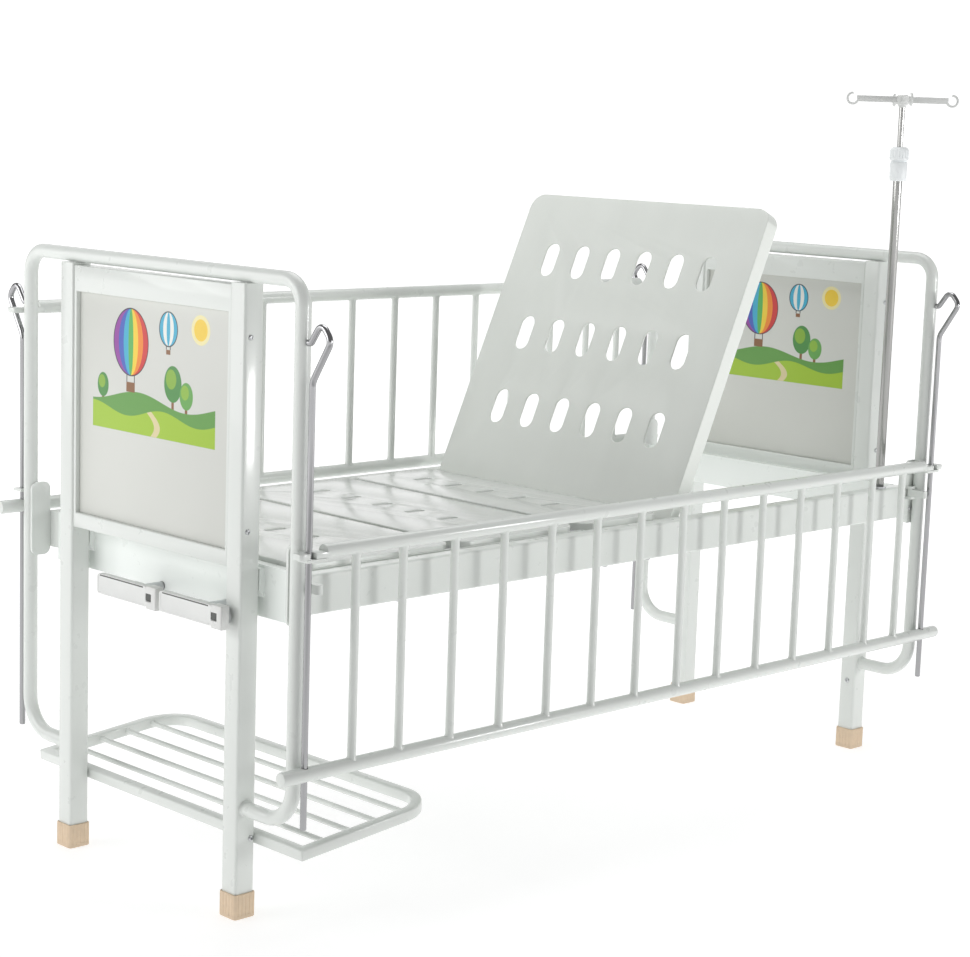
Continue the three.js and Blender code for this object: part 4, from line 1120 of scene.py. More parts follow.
@dataclass
class EndFrame:
    """One end: two legs, the loop tube over them, the folded board and its inset panel."""

    end: End
    leg_x: float = 865.0
    leg_y: float = 245.0
    leg_side: float = 40.0
    leg_corner: float = 5.0
    leg_low: float = 8.3
    leg_top: float = 1080.7
    loop_dia: float = 26.0
    loop_y: float = 388.0
    loop_stub: float = 265.3
    loop_top: float = 1094.0
    loop_low: float = 193.0
    loop_top_bend: float = 42.0
    loop_low_bend: float = 66.0
    loop_eased: float = 0.4
    loop_flare: tuple[Span, ...] = ((2.4, 0.0), (1.6, 1.4), (0.4, 3.2), (-0.5, 4.2))
    leg_eased: float = 1.0
    board_x: Span = (848.0, 882.0)
    board_half: float = 224.7
    board_z: Span = (605.0, 1077.0)
    board_eased: float = 1.6
    window_half: float = 217.7
    window_z: Span = (632.0, 1031.0)
    window_past: float = 5.0
    panel_x: Span = (856.0, 874.0)
    panel_room: float = 0.3
    panel_eased: float = 0.8

    @property
    def name(self) -> str:
        """The end's name."""
        return self.end.name.lower()

    def slab(self, xs: Span, half: float, zs: Span) -> bpy.types.Object:
        """A block across the end, between two distances out, two heights and a half width."""
        out = sorted(self.end.value * x for x in xs)
        return Bench.block(at(out[0], -half, zs[0]), at(out[1], half, zs[1]))

    def legs(self) -> None:
        """Builds the two square legs."""
        half = self.leg_side / 2
        for side in Side:
            x, y = self.end.value * self.leg_x, side.value * self.leg_y
            low = at(x - half, y - half, self.leg_low)
            leg = Bench.block(low, at(x + half, y + half, self.leg_top))
            Bench.round_along(leg, 2, self.leg_corner)
            Bench.ease(leg, self.leg_eased, 2, SQUARE_EDGES)
            node = f"leg_{self.name}_{side.name.lower()}"
            Bench.settle(leg, f"square_{node}", COAT, "bed_frame", [node])

    def loop(self) -> None:
        """Builds the bent loop tube with a weld flare where it meets each leg."""
        x, radius = self.end.value * self.leg_x, self.loop_dia / 2
        half = [
            (self.loop_stub, self.loop_low), (self.loop_y, self.loop_low), (self.loop_y, self.loop_top)]
        run = [at(x, -y, z) for y, z in half] + [at(x, y, z) for y, z in reversed(half)]
        bends = [self.loop_low_bend, self.loop_top_bend, self.loop_top_bend, self.loop_low_bend]
        tube = Tube.along(run, bends, self.loop_dia, 32, 12, self.loop_eased)
        profile = [(radius + wider, height) for wider, height in self.loop_flare]
        flares = []
        for side in Side:
            base = at(x, side.value * self.loop_stub, self.loop_low)
            flares.append(Bench.turned(base, Vector((0, side.value, 0)), profile))
        loop = Bench.join(tube, *flares)
        Bench.settle(
            loop, f"bent_loop_{self.name}", COAT, "bed_frame", [f"loop_{self.name}"], SHADE_BENT)

    def board(self) -> None:
        """Builds the folded board frame and its window."""
        board = self.slab(self.board_x, self.board_half, self.board_z)
        xs = (self.board_x[0] - self.window_past, self.board_x[1] + self.window_past)
        Bench.cut(board, self.slab(xs, self.window_half, self.window_z))
        Bench.ease(board, self.board_eased, 3)
        Bench.settle(board, f"folded_board_{self.name}", COAT, "bed_frame", [f"board_{self.name}"])

    def panel(self) -> None:
        """Builds the inset panel with its printed sheet."""
        room = self.panel_room
        zs = (self.window_z[0] + room, self.window_z[1] - room)
        panel = self.slab(self.panel_x, self.window_half - room, zs)
        Bench.ease(panel, self.panel_eased)
        Bench.settle(panel, f"printed_panel_{self.name}", SHEET, "bed_frame", [f"panel_{self.name}"])

    def build(self) -> None:
        """Builds the whole end."""
        self.legs()
        self.loop()
        self.board()
        self.panel()


@dataclass
class FootCaps:
    """The four fluted caps under the legs."""

    x: float = 865.0
    y: float = 245.0
    side: float = 46.0
    height: float = 44.0
    corner: float = 7.0
    socket: float = 40.6
    socket_floor: float = 8.0
    flute_dia: float = 4.4
    flute_sink: float = 0.9
    flute_count: int = 5
    flute_z: Span = (5.0, 50.0)
    flute_tip: Span = (0.6, 1.6)
    eased: float = 1.6
    socket_past: float = 5.0

    def cap(self) -> bpy.types.Object:
        """One cap at the origin, with flutes on its four faces.

        Returns:
            The cap.
        """
        half = self.side / 2
        cap = Bench.block(at(-half, -half, 0), at(half, half, self.height))
        Bench.round_along(cap, 2, self.corner)
        Bench.ease(cap, self.eased, 3, SQUARE_EDGES)
        pitch = (self.side - 2 * self.corner) / (self.flute_count - 1)
        radius = self.flute_dia / 2
        out = half + radius - self.flute_sink
        length = self.flute_z[1] - self.flute_z[0]
        tip, taper = self.flute_tip
        profile = [(tip, 0.0), (radius, taper), (radius, length)]
        flutes = []
        for quarter in range(4):
            turn = Matrix.Rotation(math.radians(90 * quarter), 3, "Z")
            for n in range(self.flute_count):
                step = (n - (self.flute_count - 1) / 2) * pitch
                base = turn @ at(out, step, self.flute_z[0])
                flutes.append(Bench.turned(base, UP, profile, 12))
        Bench.cut(cap, Bench.join(*flutes))
        hole = self.socket / 2
        top = at(hole, hole, self.height + self.socket_past)
        Bench.cut(cap, Bench.block(at(-hole, -hole, self.socket_floor), top))
        return cap

    def build(self) -> None:
        """Builds the cap once and puts a copy under each leg."""
        first = self.cap()
        for end, side, corner in cot_corners():
            cap = Bench.copy(first, Matrix.Translation(at(end.value * self.x, side.value * self.y, 0)))
            node = f"foot_cap_{corner}"
            Bench.settle(cap, f"fluted_{node}", TAN, "bed_frame", [node], SHADE_MIXED)
        Bench.drop(first)


@dataclass
class BedFrame:
    """The members, beams, rods and plates of the bed frame, whose CAD shapes stay."""

    coated: tuple[str, ...] = (
        "side_member_near", "side_member_far", "cross_member_1", "cross_member_2",
        "drive_hanger", "back_frame", "thigh_frame", "leg_frame",
    )
    beams: tuple[str, ...] = ("beam_foot", "beam_head")
    plated: tuple[str, ...] = (
        "back_pivot_rod", "thigh_pivot_rod", "knee_rod", "back_drive", "thigh_drive",
    )
    threaded: tuple[str, ...] = ("back_screw", "thigh_screw")

    def build(self) -> None:
        """Dresses the frame's CAD nodes."""
        Bench.dress(COAT, *self.coated)
        # The beams take the paler copy of the coat, which is painted light.
        Bench.dress(PAINTED_LIGHT_BEAM_COAT, *self.beams)
        Bench.dress(STEEL, *self.plated)
        Bench.dress(THREAD, *self.threaded)
        for _, _, corner in cot_corners():
            Bench.dress(COAT, f"corner_plate_{corner}", f"rail_catch_{corner}")


@dataclass
class DeckBoards:
    """The four moulded boards: trays with a skin, a rim and slots with rolled edges."""

    half: float = 330.0
    low: float = 591.0
    top: float = 616.0
    corner: float = 34.0
    skin: float = 5.0
    rim: float = 5.0
    eased: float = 2.2
    level: dict[str, Span] = field(default_factory=lambda: {
        "leg": (-810.0, -458.5), "thigh": (-445.5, -141.5), "seat": (-126.0, 93.0)})
    bodies: dict[str, str] = field(default_factory=lambda: {
        "leg": "leg_rest", "thigh": "thigh_rest", "seat": "bed_frame"})
    level_slot: Span = (46.0, 16.0)
    level_pitch: float = 92.0
    back: Span = (109.0, 810.0)
    back_slot: Span = (74.0, 36.0)
    back_pitch: float = 87.4
    back_rows: tuple[float, ...] = (326.5, 494.0, 661.5)
    back_pivot: Span = (148.0, 580.0)
    back_tilt: float = 65.9
    back_rim: Span = (182.0, 9.0)
    slot_count: int = 6
    slot_past: float = 9.0

    def slots(self, rows: Sequence[float], size: Span, pitch: float) -> bpy.types.Object:
        """Cutters for rows of slots.

        Args:
            rows: X of each row.
            size: Length along X and width of a slot.
            pitch: Distance from slot to slot.

        Returns:
            All the cutters as one object.
        """
        length, width = size
        low = at(-length / 2, -width / 2, self.low - self.slot_past)
        first = Bench.block(low, at(length / 2, width / 2, self.top + self.slot_past))
        Bench.round_along(first, 2, width / 2 - 0.2, 8)
        steps = [(n - (self.slot_count - 1) / 2) * pitch for n in range(self.slot_count)]
        places = [at(x, y, 0) for x in rows for y in steps]
        cutters = [Bench.copy(first, Matrix.Translation(place)) for place in places]
        Bench.drop(first)
        return Bench.join(*cutters)

    def underside(self, middle: Vector, normal: Vector) -> bool:
        """Whether a face with this middle and normal is at the foot of a level board."""
        return normal.z < -0.9 and middle.z < (self.low + 1) * MM

    def tray(
        self, ends: Span, cutter: bpy.types.Object, deeper: Optional[Span] = None
    ) -> bpy.types.Object:
        """A board with slots, hollowed from below and eased all round.

        Args:
            ends: X of its two ends.
            cutter: The slots' cutters.
            deeper: X that its rim is deeper beyond, and by how much.

        Returns:
            The board, level.
        """
        board = Bench.block(at(ends[0], -self.half, self.low), at(ends[1], self.half, self.top))
        Bench.round_along(board, 2, self.corner, 8)
        Bench.faces(board, self.underside)
        bpy.ops.mesh.inset(thickness=self.rim * MM, depth=0.0, use_boundary=True)
        Bench.pull(Vector((0, 0, (self.top - self.low - self.skin) * MM)))
        if deeper:
            start, depth = deeper
            bpy.ops.mesh.select_all(action="SELECT")
            bpy.ops.mesh.bisect(plane_co=at(start, 0, 0), plane_no=(1, 0, 0))
            Bench.faces(board, lambda middle, normal: (
                self.underside(middle, normal) and middle.x > start * MM))
            Bench.pull(Vector((0, 0, -depth * MM)))
        Bench.rest()
        Bench.cut(board, cutter)
        Bench.ease(board, self.eased, 3, 50.0)
        return board

    def build(self) -> None:
        """Builds the three level boards and the raised back board."""
        for name, ends in self.level.items():
            cutter = self.slots([sum(ends) / 2], self.level_slot, self.level_pitch)
            board = self.tray(ends, cutter)
            node = f"{name}_panel"
            Bench.settle(board, f"moulded_{name}_board", LEVEL_BOARD, self.bodies[name], [node])
        cutter = self.slots(self.back_rows, self.back_slot, self.back_pitch)
        board = self.tray(self.back, cutter, self.back_rim)
        Bench.lean(board, at(self.back_pivot[0], 0, self.back_pivot[1]), -self.back_tilt)
        Bench.settle(board, "moulded_back_board", BACK_BOARD, "backrest", ["back_panel"])


@dataclass
class SideRail:
    """One side rail: two long tubes, the bars welded between them and the forks of the top tube."""

    side: Side
    top_z: float
    y: float = 415.0
    height: float = 370.0
    dia: float = 25.0
    top_half: float = 835.0
    low_half: float = 916.0
    bar_dia: float = 15.0
    bar_count: int = 14
    bar_half: float = 763.0
    bar_end_gap: float = 105.0
    rod_x: float = 865.0
    rod_bore: float = 13.0
    fork_start: float = 822.5
    fork_end: float = 892.0
    fork_z: Span = (-9.0, 1.0)
    fork_corner: float = 6.0
    fork_eased: float = 1.2
    mouth_past: float = 3.0
    bar_flare: tuple[Span, ...] = ((0.0, 0.0), (2.2, 8.0), (1.0, 12.2), (0.0, 14.6))
    end_eased: float = 3.0

    def bars(self) -> bpy.types.Object:
        """One bar with a weld flare at each end, copied along the rail.

        Returns:
            All the bars as one object.
        """
        base = at(-self.bar_half, self.side.value * self.y, self.top_z - self.height)
        first = Bench.turned(base, UP, flared(self.bar_dia / 2, self.height, self.bar_flare), 20)
        inner = self.bar_half - self.bar_end_gap
        pitch = 2 * inner / (self.bar_count - 3)
        moves = [at(self.bar_end_gap + n * pitch, 0, 0) for n in range(self.bar_count - 2)]
        return Bench.row(first, moves + [at(2 * self.bar_half, 0, 0)])

    def fork(self, end: End) -> bpy.types.Object:
        """The flat fork that keeps the top tube on its guide rod, open to the outside.

        Args:
            end: The end that it is for.

        Returns:
            The fork.
        """
        y, half = self.side.value * self.y, self.dia / 2
        xs = sorted((end.value * self.fork_start, end.value * self.fork_end))
        z0, z1 = self.top_z + self.fork_z[0], self.top_z + self.fork_z[1]
        fork = Bench.block(at(xs[0], y - half, z0), at(xs[1], y + half, z1))
        Bench.round_along(fork, 2, self.fork_corner, 4)
        reach = self.rod_bore / 2
        ys = sorted((y - self.side.value * reach, y + self.side.value * self.dia))
        x = end.value * self.rod_x
        low = at(x - reach, ys[0], z0 - self.mouth_past)
        mouth = Bench.block(low, at(x + reach, ys[1], z1 + self.mouth_past))
        Bench.round_along(mouth, 2, reach - 0.4, 6)
        Bench.cut(fork, mouth)
        Bench.ease(fork, self.fork_eased, 2, SQUARE_EDGES)
        return fork

    def build(self) -> None:
        """Builds the rail."""
        name = self.side.name.lower()
        y, low_z = self.side.value * self.y, self.top_z - self.height
        top, low = [
            Tube.along([at(-half, y, z), at(half, y, z)], [], self.dia, 32, 1, self.end_eased)
            for half, z in ((self.top_half, self.top_z), (self.low_half, low_z))]
        bore = [(self.rod_bore / 2, 0.0), (self.rod_bore / 2, 2 * self.dia)]
        bases = [at(end.value * self.rod_x, y, low_z - self.dia) for end in End]
        Bench.cut(low, Bench.join(*[Bench.turned(base, UP, bore, 24) for base in bases]))
        rail = Bench.join(top, low, self.bars(), *[self.fork(end) for end in End])
        Bench.settle(
            rail, f"welded_rail_{name}", COAT, f"{name}_rail", [f"rail_{name}"], SHADE_MIXED)


@dataclass
class GuideRods:
    """The four bright rods that the rails run on, each hooked back to its loop tube."""

    x: float = 865.0
    y: float = 415.0
    dia: float = 11.0
    run: tuple[Span, ...] = (
        (0.0, 193.0), (0.0, 934.0), (44.0, 1003.0), (20.0, 1031.0), (-5.5, 996.0), (-13.7, 996.0))
    bends: tuple[float, ...] = (30.0, 16.0, 12.0, 7.0)
    eased: float = 1.6

    def build(self) -> None:
        """Builds the rods."""
        for end, side, corner in cot_corners():
            line = [at(end.value * self.x, side.value * (self.y + out), z) for out, z in self.run]
            rod = Tube.along(line, self.bends, self.dia, 24, 8, self.eased)
            node = f"guide_rod_{corner}"
            Bench.settle(rod, f"bright_{node}", CHROME, "bed_frame", [node], SHADE_BENT)


@dataclass
class ShoeRack:
    """The rack between the foot legs: a square tube with bent rear corners, and slats."""

    front_x: float = -843.74
    rear_x: float = -525.0
    z: float = 136.0
    half: float = 388.0
    side: float = 20.0
    bend: float = 82.0
    tilt: float = 5.5
    eased: float = 3.0
    cutter_past: float = 10.0
    slat_dia: float = 10.0
    slat_count: int = 4
    slat_flare: tuple[Span, ...] = ((0.0, 0.0), (1.8, 9.0), (0.8, 11.6), (0.0, 14.0))

    def ring(self, inset: float, tall: float) -> bpy.types.Object:
        """A block as long and wide as the rack, with its rear corners bent round.

        Args:
            inset: How far its sides lie inside the rack's.
            tall: Its height.

        Returns:
            The block.
        """
        low = at(self.front_x + inset, inset - self.half, self.z - tall / 2)
        block = Bench.block(low, at(self.rear_x - inset, self.half - inset, self.z + tall / 2))
        middle = (self.front_x + self.rear_x) / 2 * MM
        Bench.edges(block, lambda a, b: (
            abs(a.z - b.z) > 1e-3 and a.x > middle and abs(a.x - b.x) < 1e-6))
        radius = (self.bend - inset) * MM
        bpy.ops.mesh.bevel(offset=radius, segments=16, profile=0.5, affect="EDGES")
        Bench.rest()
        return block

    def slats(self) -> bpy.types.Object:
        """One slat with a weld flare at each end, copied along the rack.

        Returns:
            All the slats as one object.
        """
        spread = (self.rear_x - self.front_x - self.side) / (self.slat_count + 1)
        reach = self.half - self.side / 2
        base = at(self.front_x + self.side / 2 + spread, -reach, self.z)
        profile = flared(self.slat_dia / 2, 2 * reach, self.slat_flare)
        first = Bench.turned(base, Vector((0, 1, 0)), profile, 18)
        return Bench.row(first, [at(n * spread, 0, 0) for n in range(1, self.slat_count)])

    def build(self) -> None:
        """Builds the rack level and leans it to the rear."""
        tube = self.ring(0.0, self.side)
        Bench.cut(tube, self.ring(self.side, self.side + self.cutter_past))
        Bench.ease(tube, self.eased, 3, 50.0)
        rack = Bench.join(tube, self.slats())
        Bench.lean(rack, at(self.front_x, 0, self.z), -self.tilt)
        Bench.settle(rack, "welded_shoe_rack", COAT, "bed_frame", ["shoe_rack"], SHADE_BENT)


@dataclass
class DripPole:
    """The telescopic pole: socket, tube, collar, clamp with its wing, mast and four hooks."""

    x: float = 760.0
    y: float = -359.0
    tube_dia: float = 19.0
    tube_z: Span = (561.6, 1266.0)
    tube_bore_depth: float = 380.0
    collar_z: Span = (1257.0, 1299.0)
    collar_dia: float = 36.0
    clamp_z: Span = (1299.3, 1327.3)
    clamp_dia: float = 40.0
    flute: tuple[Span, ...] = ((0.5, 0.0), (2.2, 2.0), (2.2, 20.0), (0.5, 24.0))
    flute_out: float = 1.1
    flute_up: float = 4.0
    flute_step: float = 18.0
    flute_turns: tuple[int, int] = (2, 18)
    wing_x: Span = (-3.0, 6.0)
    wing_half: float = 6.0
    wing_room: float = 3.0
    wing_corner: float = 4.0
    mast_dia: float = 12.0
    mast_z: Span = (850.0, 1424.0)
    hub_dia: float = 26.0
    hub_z: Span = (1414.0, 1434.0)
    arm_reach: float = 94.5
    arm_tall: float = 13.0
    arm_thick: float = 7.0
    hook_reach: float = 92.0
    hook_radius: float = 11.0
    hook_dia: float = 5.0
    hook_bend: float = 0.96
    hook_run: tuple[Span, ...] = ((0.0, 0.0), (0.0, -1.0), (2.0, -1.0), (2.0, 1.0), (0.9, 1.0))
    hook_count: int = 4
    turn: float = 45.0
    eased: float = 1.4

    def axis(self, profile: Profile, sides: int = 40) -> bpy.types.Object:
        """A solid turned about the pole's axis, from radii and heights over the floor."""
        return Bench.turned(at(self.x, self.y, 0), UP, profile, sides)

    def ring(self, piece: bpy.types.Object, angles: Iterable[float]) -> list[bpy.types.Object]:
        """Copies of a piece round the pole's axis at these angles; the first one goes.

        Args:
            piece: The piece, at angle 0.
            angles: Where the copies stand, in degrees.

        Returns:
            The copies.
        """
        centre = at(self.x, self.y, 0)
        copies = [Bench.copy(piece, about(centre, angle, "Z")) for angle in angles]
        Bench.drop(piece)
        return copies

    def tube(self) -> None:
        """Builds the lower tube with its bore at the top."""
        low, high = self.tube_z
        out, bore = self.tube_dia / 2, self.mast_dia / 2 + 0.5
        tube = self.axis([
            (out - 1, low), (out, low + 1), (out, high), (bore, high),
            (bore, high - self.tube_bore_depth)])
        Bench.settle(tube, "polished_pole_tube", SATIN, "pole", ["pole_tube"], SHADE_BENT)

    def collar(self) -> None:
        """Builds the waisted collar."""
        (low, high), out = self.collar_z, self.collar_dia / 2
        bore = self.tube_dia / 2 + 0.3
        collar = self.axis([
            (bore, low), (out - 2.5, low), (out - 1, low + 2), (out, low + 9), (out, high - 5),
            (out - 1.5, high - 2), (out - 3, high), (bore, high), (bore, low + 3)])
        Bench.settle(collar, "moulded_pole_collar", PALE, "pole", ["pole_collar"])

    def clamp(self) -> None:
        """Builds the clamp over the collar, with grip flutes and a wing."""
        (low, high), out = self.clamp_z, self.clamp_dia / 2
        bore = self.mast_dia / 2 + 0.4
        clamp = self.axis([
            (bore, low), (out - 1.5, low), (out, low + 1.5), (out, high - 9), (out - 2, high - 4),
            (out - 6, high - 1), (out - 8, high), (bore, high), (bore, low + 1)])
        base = at(self.x + out + self.flute_out, self.y, low + self.flute_up)
        first, last = self.flute_turns
        angles = [n * self.flute_step for n in range(first, last + 1)]
        Bench.cut(clamp, Bench.join(*self.ring(Bench.turned(base, UP, self.flute, 10), angles)))
        near, far = [self.x + out + reach for reach in self.wing_x]
        wing = Bench.block(
            at(near, self.y - self.wing_half, low + self.wing_room),
            at(far, self.y + self.wing_half, high - self.wing_room))
        Bench.round_along(wing, 1, self.wing_corner, 4)
        Bench.ease(wing, self.eased)
        clamp = Bench.join(clamp, wing)
        Bench.settle(clamp, "moulded_pole_clamp", PALE, "pole_lock", ["pole_clamp"])

    def hook(self) -> bpy.types.Object:
        """One arm with its ring hook, along +X from the pole's axis.

        Returns:
            The arm and hook as one object.
        """
        mid = (self.hub_z[0] + self.hub_z[1]) / 2
        thick, tall, radius = self.arm_thick / 2, self.arm_tall / 2, self.hook_radius
        arm = Bench.block(
            at(self.x, self.y - thick, mid - tall),
            at(self.x + self.arm_reach, self.y + thick, mid + tall))
        Bench.ease(arm, self.eased, 3)
        start = self.x + self.hook_reach
        line = [at(start + out * radius, self.y, mid + up * radius) for out, up in self.hook_run]
        bends = [radius * self.hook_bend] * (len(line) - 2)
        return Bench.join(arm, Tube.along(line, bends, self.hook_dia, 14, 8))

    def mast(self) -> None:
        """Builds the mast, its hub and the hooks."""
        (low, high), out = self.mast_z, self.mast_dia / 2
        rod = self.axis([(out - 1, low), (out, low + 1), (out, high)])
        (low, high), out = self.hub_z, self.hub_dia / 2
        hub = self.axis([
            (7.5, low - 6), (9, low), (out - 1.5, low), (out, low + 1.5), (out, high - 3),
            (out - 3, high - 0.4), (4, high)])
        step = 360.0 / self.hook_count
        hooks = self.ring(self.hook(), [self.turn + step * n for n in range(self.hook_count)])
        Bench.settle(rod, "polished_mast", SATIN, "mast", ["pole_mast"], SHADE_BENT)
        head = Bench.join(hub, *hooks)
        Bench.settle(head, "mast_head", HOOK_GREY, "mast", ["pole_mast"], SHADE_BENT)

    def build(self) -> None:
        """Builds the pole."""
        Bench.dress(STEEL, "pole_socket")
        self.tube()
        self.collar()
        self.clamp()
        self.mast()


@dataclass
class CrankHandle:
    """A folding handle: grip bar with a dark strip along its top that is a painted shadow, tongue, and
    the knuckle it folds in.
    """

    name: str
    drive_y: float
    drive_z: float = 525.0
    arm_length: float = 70.0
    pin_x: float = -905.8
    knuckle: float = 9.0
    knuckle_reach: float = 20.0
    knuckle_half: float = 20.0
    jaw: float = 7.0
    grip_length: float = 146.0
    grip_height: float = 36.0
    grip_thick: float = 13.0
    grip_corner: float = 6.0
    grip_eased: float = 0.4
    groove_inset: float = 3.5
    groove_depth: float = 0.5
    # The dark strip of painted shadow near the grip's top: its span from the grip's outer face, its room
    # from the grip's ends and its depths below the top.
    painted_shadow_x: Span = (-0.3, 3.0)
    painted_shadow_room: float = 9.0
    painted_shadow_down: Span = (3.6, 1.2)
    tongue: float = 6.6
    pin_bore: float = 6.8
    pin_dia: float = 6.0
    tongue_eased: float = 0.5
    tongue_sunk: float = 3.0
    knuckle_corner: float = 3.0
    knuckle_eased: float = 1.0
    cutter_past: float = 30.0

    @property
    def pin_y(self) -> float:
        """Y of the fold pin."""
        return self.drive_y - self.arm_length

    def stem(self, dia: float, half: float, sides: int = 28) -> bpy.types.Object:
        """A round solid on the fold pin's axis, from its diameter and half height."""
        base = at(self.pin_x, self.pin_y, self.drive_z)
        return Bench.turned(base, UP, [(dia / 2, -half), (dia / 2, half)], sides)

    def grip(self) -> None:
        """Builds the grip with its pressed groove, and the dark strip on top that is a painted shadow of
        the gap above it.
        """
        start = self.pin_y + self.knuckle + 1.0
        end = start + self.grip_length
        half, thick = self.grip_height / 2, self.grip_thick / 2
        z, x = self.drive_z, self.pin_x
        grip = Bench.block(at(x - thick, start, z - half), at(x + thick, end, z + half))
        Bench.round_along(grip, 0, self.grip_corner, 6)
        for way in (-1, 1):
            Bench.faces(grip, lambda middle, normal, way=way: normal.x * way > 0.9)
            bpy.ops.mesh.inset(thickness=self.groove_inset * MM, depth=0.0)
            Bench.pull(Vector((-way * self.groove_depth * MM, 0, 0)))
        Bench.rest()
        Bench.ease(grip, self.grip_eased, 2, 50.0)
        body = f"{self.name}_handle"
        Bench.settle(grip, f"{self.name}_grip_bar", GREY, body, [f"{self.name}_grip"])
        # Painted shadow: a thin dark strip near the grip's top stands for the shade in the gap between
        # the grip and the beam above it.
        outer, inner = [x - thick + out for out in self.painted_shadow_x]
        low, high = [z + half - down for down in self.painted_shadow_down]
        painted_shadow = Bench.block(
            at(outer, start + self.painted_shadow_room, low), at(inner, end - self.painted_shadow_room, high))
        Bench.ease(painted_shadow, self.grip_eased)
        Bench.settle(painted_shadow, f"{self.name}_grip_seam", DARK, body)

    def tongue_piece(self) -> None:
        """Builds the tongue that turns on the fold pin."""
        x, y, z, thick = self.pin_x, self.pin_y, self.drive_z, self.grip_thick / 2
        eye = self.stem(self.grip_thick, self.tongue)
        neck = Bench.block(
            at(x - thick, y, z - self.tongue),
            at(x + thick, y + self.knuckle + self.tongue_sunk, z + self.tongue))
        for part in (eye, neck):
            Bench.ease(part, self.tongue_eased, 2, SQUARE_EDGES)
            Bench.cut(part, self.stem(self.pin_bore, self.cutter_past, 20))
        tongue = Bench.join(eye, neck)
        Bench.settle(tongue, f"{self.name}_grip_tongue", DARK, f"{self.name}_handle")

    def bracket(self) -> None:
        """Builds the knuckle: a block with a mouth for the tongue, and the fold pin."""
        x, y, z, tall = self.pin_x, self.pin_y, self.drive_z, self.knuckle_half
        out, room = self.knuckle, self.grip_thick / 2 + 0.4
        low = at(x - out, y - self.knuckle_reach, z - tall)
        block = Bench.block(low, at(x + out, y + out, z + tall))
        Bench.round_along(block, 2, self.knuckle_corner, 4)
        low = at(x - self.cutter_past, y - room, z - self.jaw)
        Bench.cut(block, Bench.block(low, at(x + room, y + self.cutter_past, z + self.jaw)))
        Bench.ease(block, self.knuckle_eased, 2, 50.0)
        piece = Bench.join(block, self.stem(self.pin_dia, self.jaw + 1.0, 20))
        node = f"{self.name}_knuckle"
        Bench.settle(piece, f"{self.name}_fold_knuckle", BRACKET, f"{self.name}_crank", [node])

    def build(self) -> None:
        """Builds the handle."""
        self.grip()
        self.tongue_piece()
        self.bracket()


@dataclass(frozen=True)
class Bolt:
    """A place for a screw or bolt head: its name, seat, the way it faces and its radius."""

    name: str
    seat: Vector
    facing: Vector
    radius: float


@dataclass
class Fasteners:
    """Screw heads on the legs, the rack and the bed frame."""

    head_height: float = 0.55
    head_round: tuple[Span, ...] = (
        (1.0, 0.2), (0.93, 0.55), (0.76, 0.85), (0.5, 1.0), (0.44, 1.0), (0.4, 0.3))
    head_sunk: float = 0.2
    screw_radius: float = 5.0
    bolt_radius: float = 5.5
    member_radius: float = 6.5
    board_at: Span = (872.0, 265.0)
    board_z: Span = (669.0, 992.0)
    plate_at: Span = (854.0, 374.7)
    plate_z: Span = (559.0, 591.0)
    rack_at: Place = (-854.0, 265.0, 139.0)
    leg_at: Place = (845.0, 245.0, 153.0)
    member_at: Span = (361.0, 541.0)
    member_x: Place = (-620.0, -98.0, 22.0)

    def head(self) -> bpy.types.Object:
        """A domed head of radius 1 mm with a socket, facing up at the origin.

        Returns:
            The head.
        """
        profile = [(1.0, -self.head_sunk)]
        profile += [(wide, part * self.head_height) for wide, part in self.head_round]
        return Bench.turned(at(0, 0, 0), UP, profile, 24)

    def places(self) -> list[Bolt]:
        """Where the heads go.

        Returns:
            A place for each head.
        """
        found: list[Bolt] = []
        for end, side, tag in cot_corners():
            out = Vector((0, side.value, 0))
            for kind, (x, y), heights, radius in (
                ("board_screw", self.board_at, self.board_z, self.screw_radius),
                ("plate_bolt", self.plate_at, self.plate_z, self.bolt_radius),
            ):
                for n, z in enumerate(heights):
                    seat = at(end.value * x, side.value * y, z)
                    found.append(Bolt(f"{kind}_{tag}_{n}", seat, out, radius))
        for side in Side:
            tag, out = side.name.lower(), Vector((0, side.value, 0))
            for kind, (x, y, z), facing in (
                ("rack_bolt", self.rack_at, out), ("leg_bolt", self.leg_at, Vector((-1, 0, 0))),
            ):
                seat = at(x, side.value * y, z)
                found.append(Bolt(f"{kind}_{tag}", seat, facing, self.bolt_radius))
            for n, x in enumerate(self.member_x):
                seat = at(x, side.value * self.member_at[0], self.member_at[1])
                found.append(Bolt(f"member_bolt_{tag}_{n}", seat, -UP, self.member_radius))
        return found

    def build(self) -> None:
        """Builds one head and puts a copy at each place."""
        first = self.head()
        for bolt in self.places():
            turn = bolt.facing.to_track_quat("Z", "Y").to_matrix().to_4x4()
            move = Matrix.Translation(bolt.seat) @ turn @ Matrix.Scale(bolt.radius, 4)
            Bench.settle(Bench.copy(first, move), bolt.name, STEEL, "bed_frame", (), SHADE_MIXED)
        Bench.drop(first)


# ---------------------------------------------------------------------------
# Studio


@dataclass(frozen=True)
class Lamp:
    """A square soft light: its name, place, the point it faces, its side and its power in watts."""

    name: str
    place: Place
    aim: Place
    size: float
    power: float

    def hang(self) -> None:
        """Hangs the light."""
        data = bpy.data.lights.new(self.name, "AREA")
        data.shape = "SQUARE"
        data.size = self.size
        data.energy = self.power
        lamp = bpy.data.objects.new(self.name, data)
        bpy.context.scene.collection.objects.link(lamp)
        way = Vector(self.aim) - Vector(self.place)
        lamp.location = self.place
        lamp.rotation_euler = way.to_track_quat("-Z", "Y").to_euler()


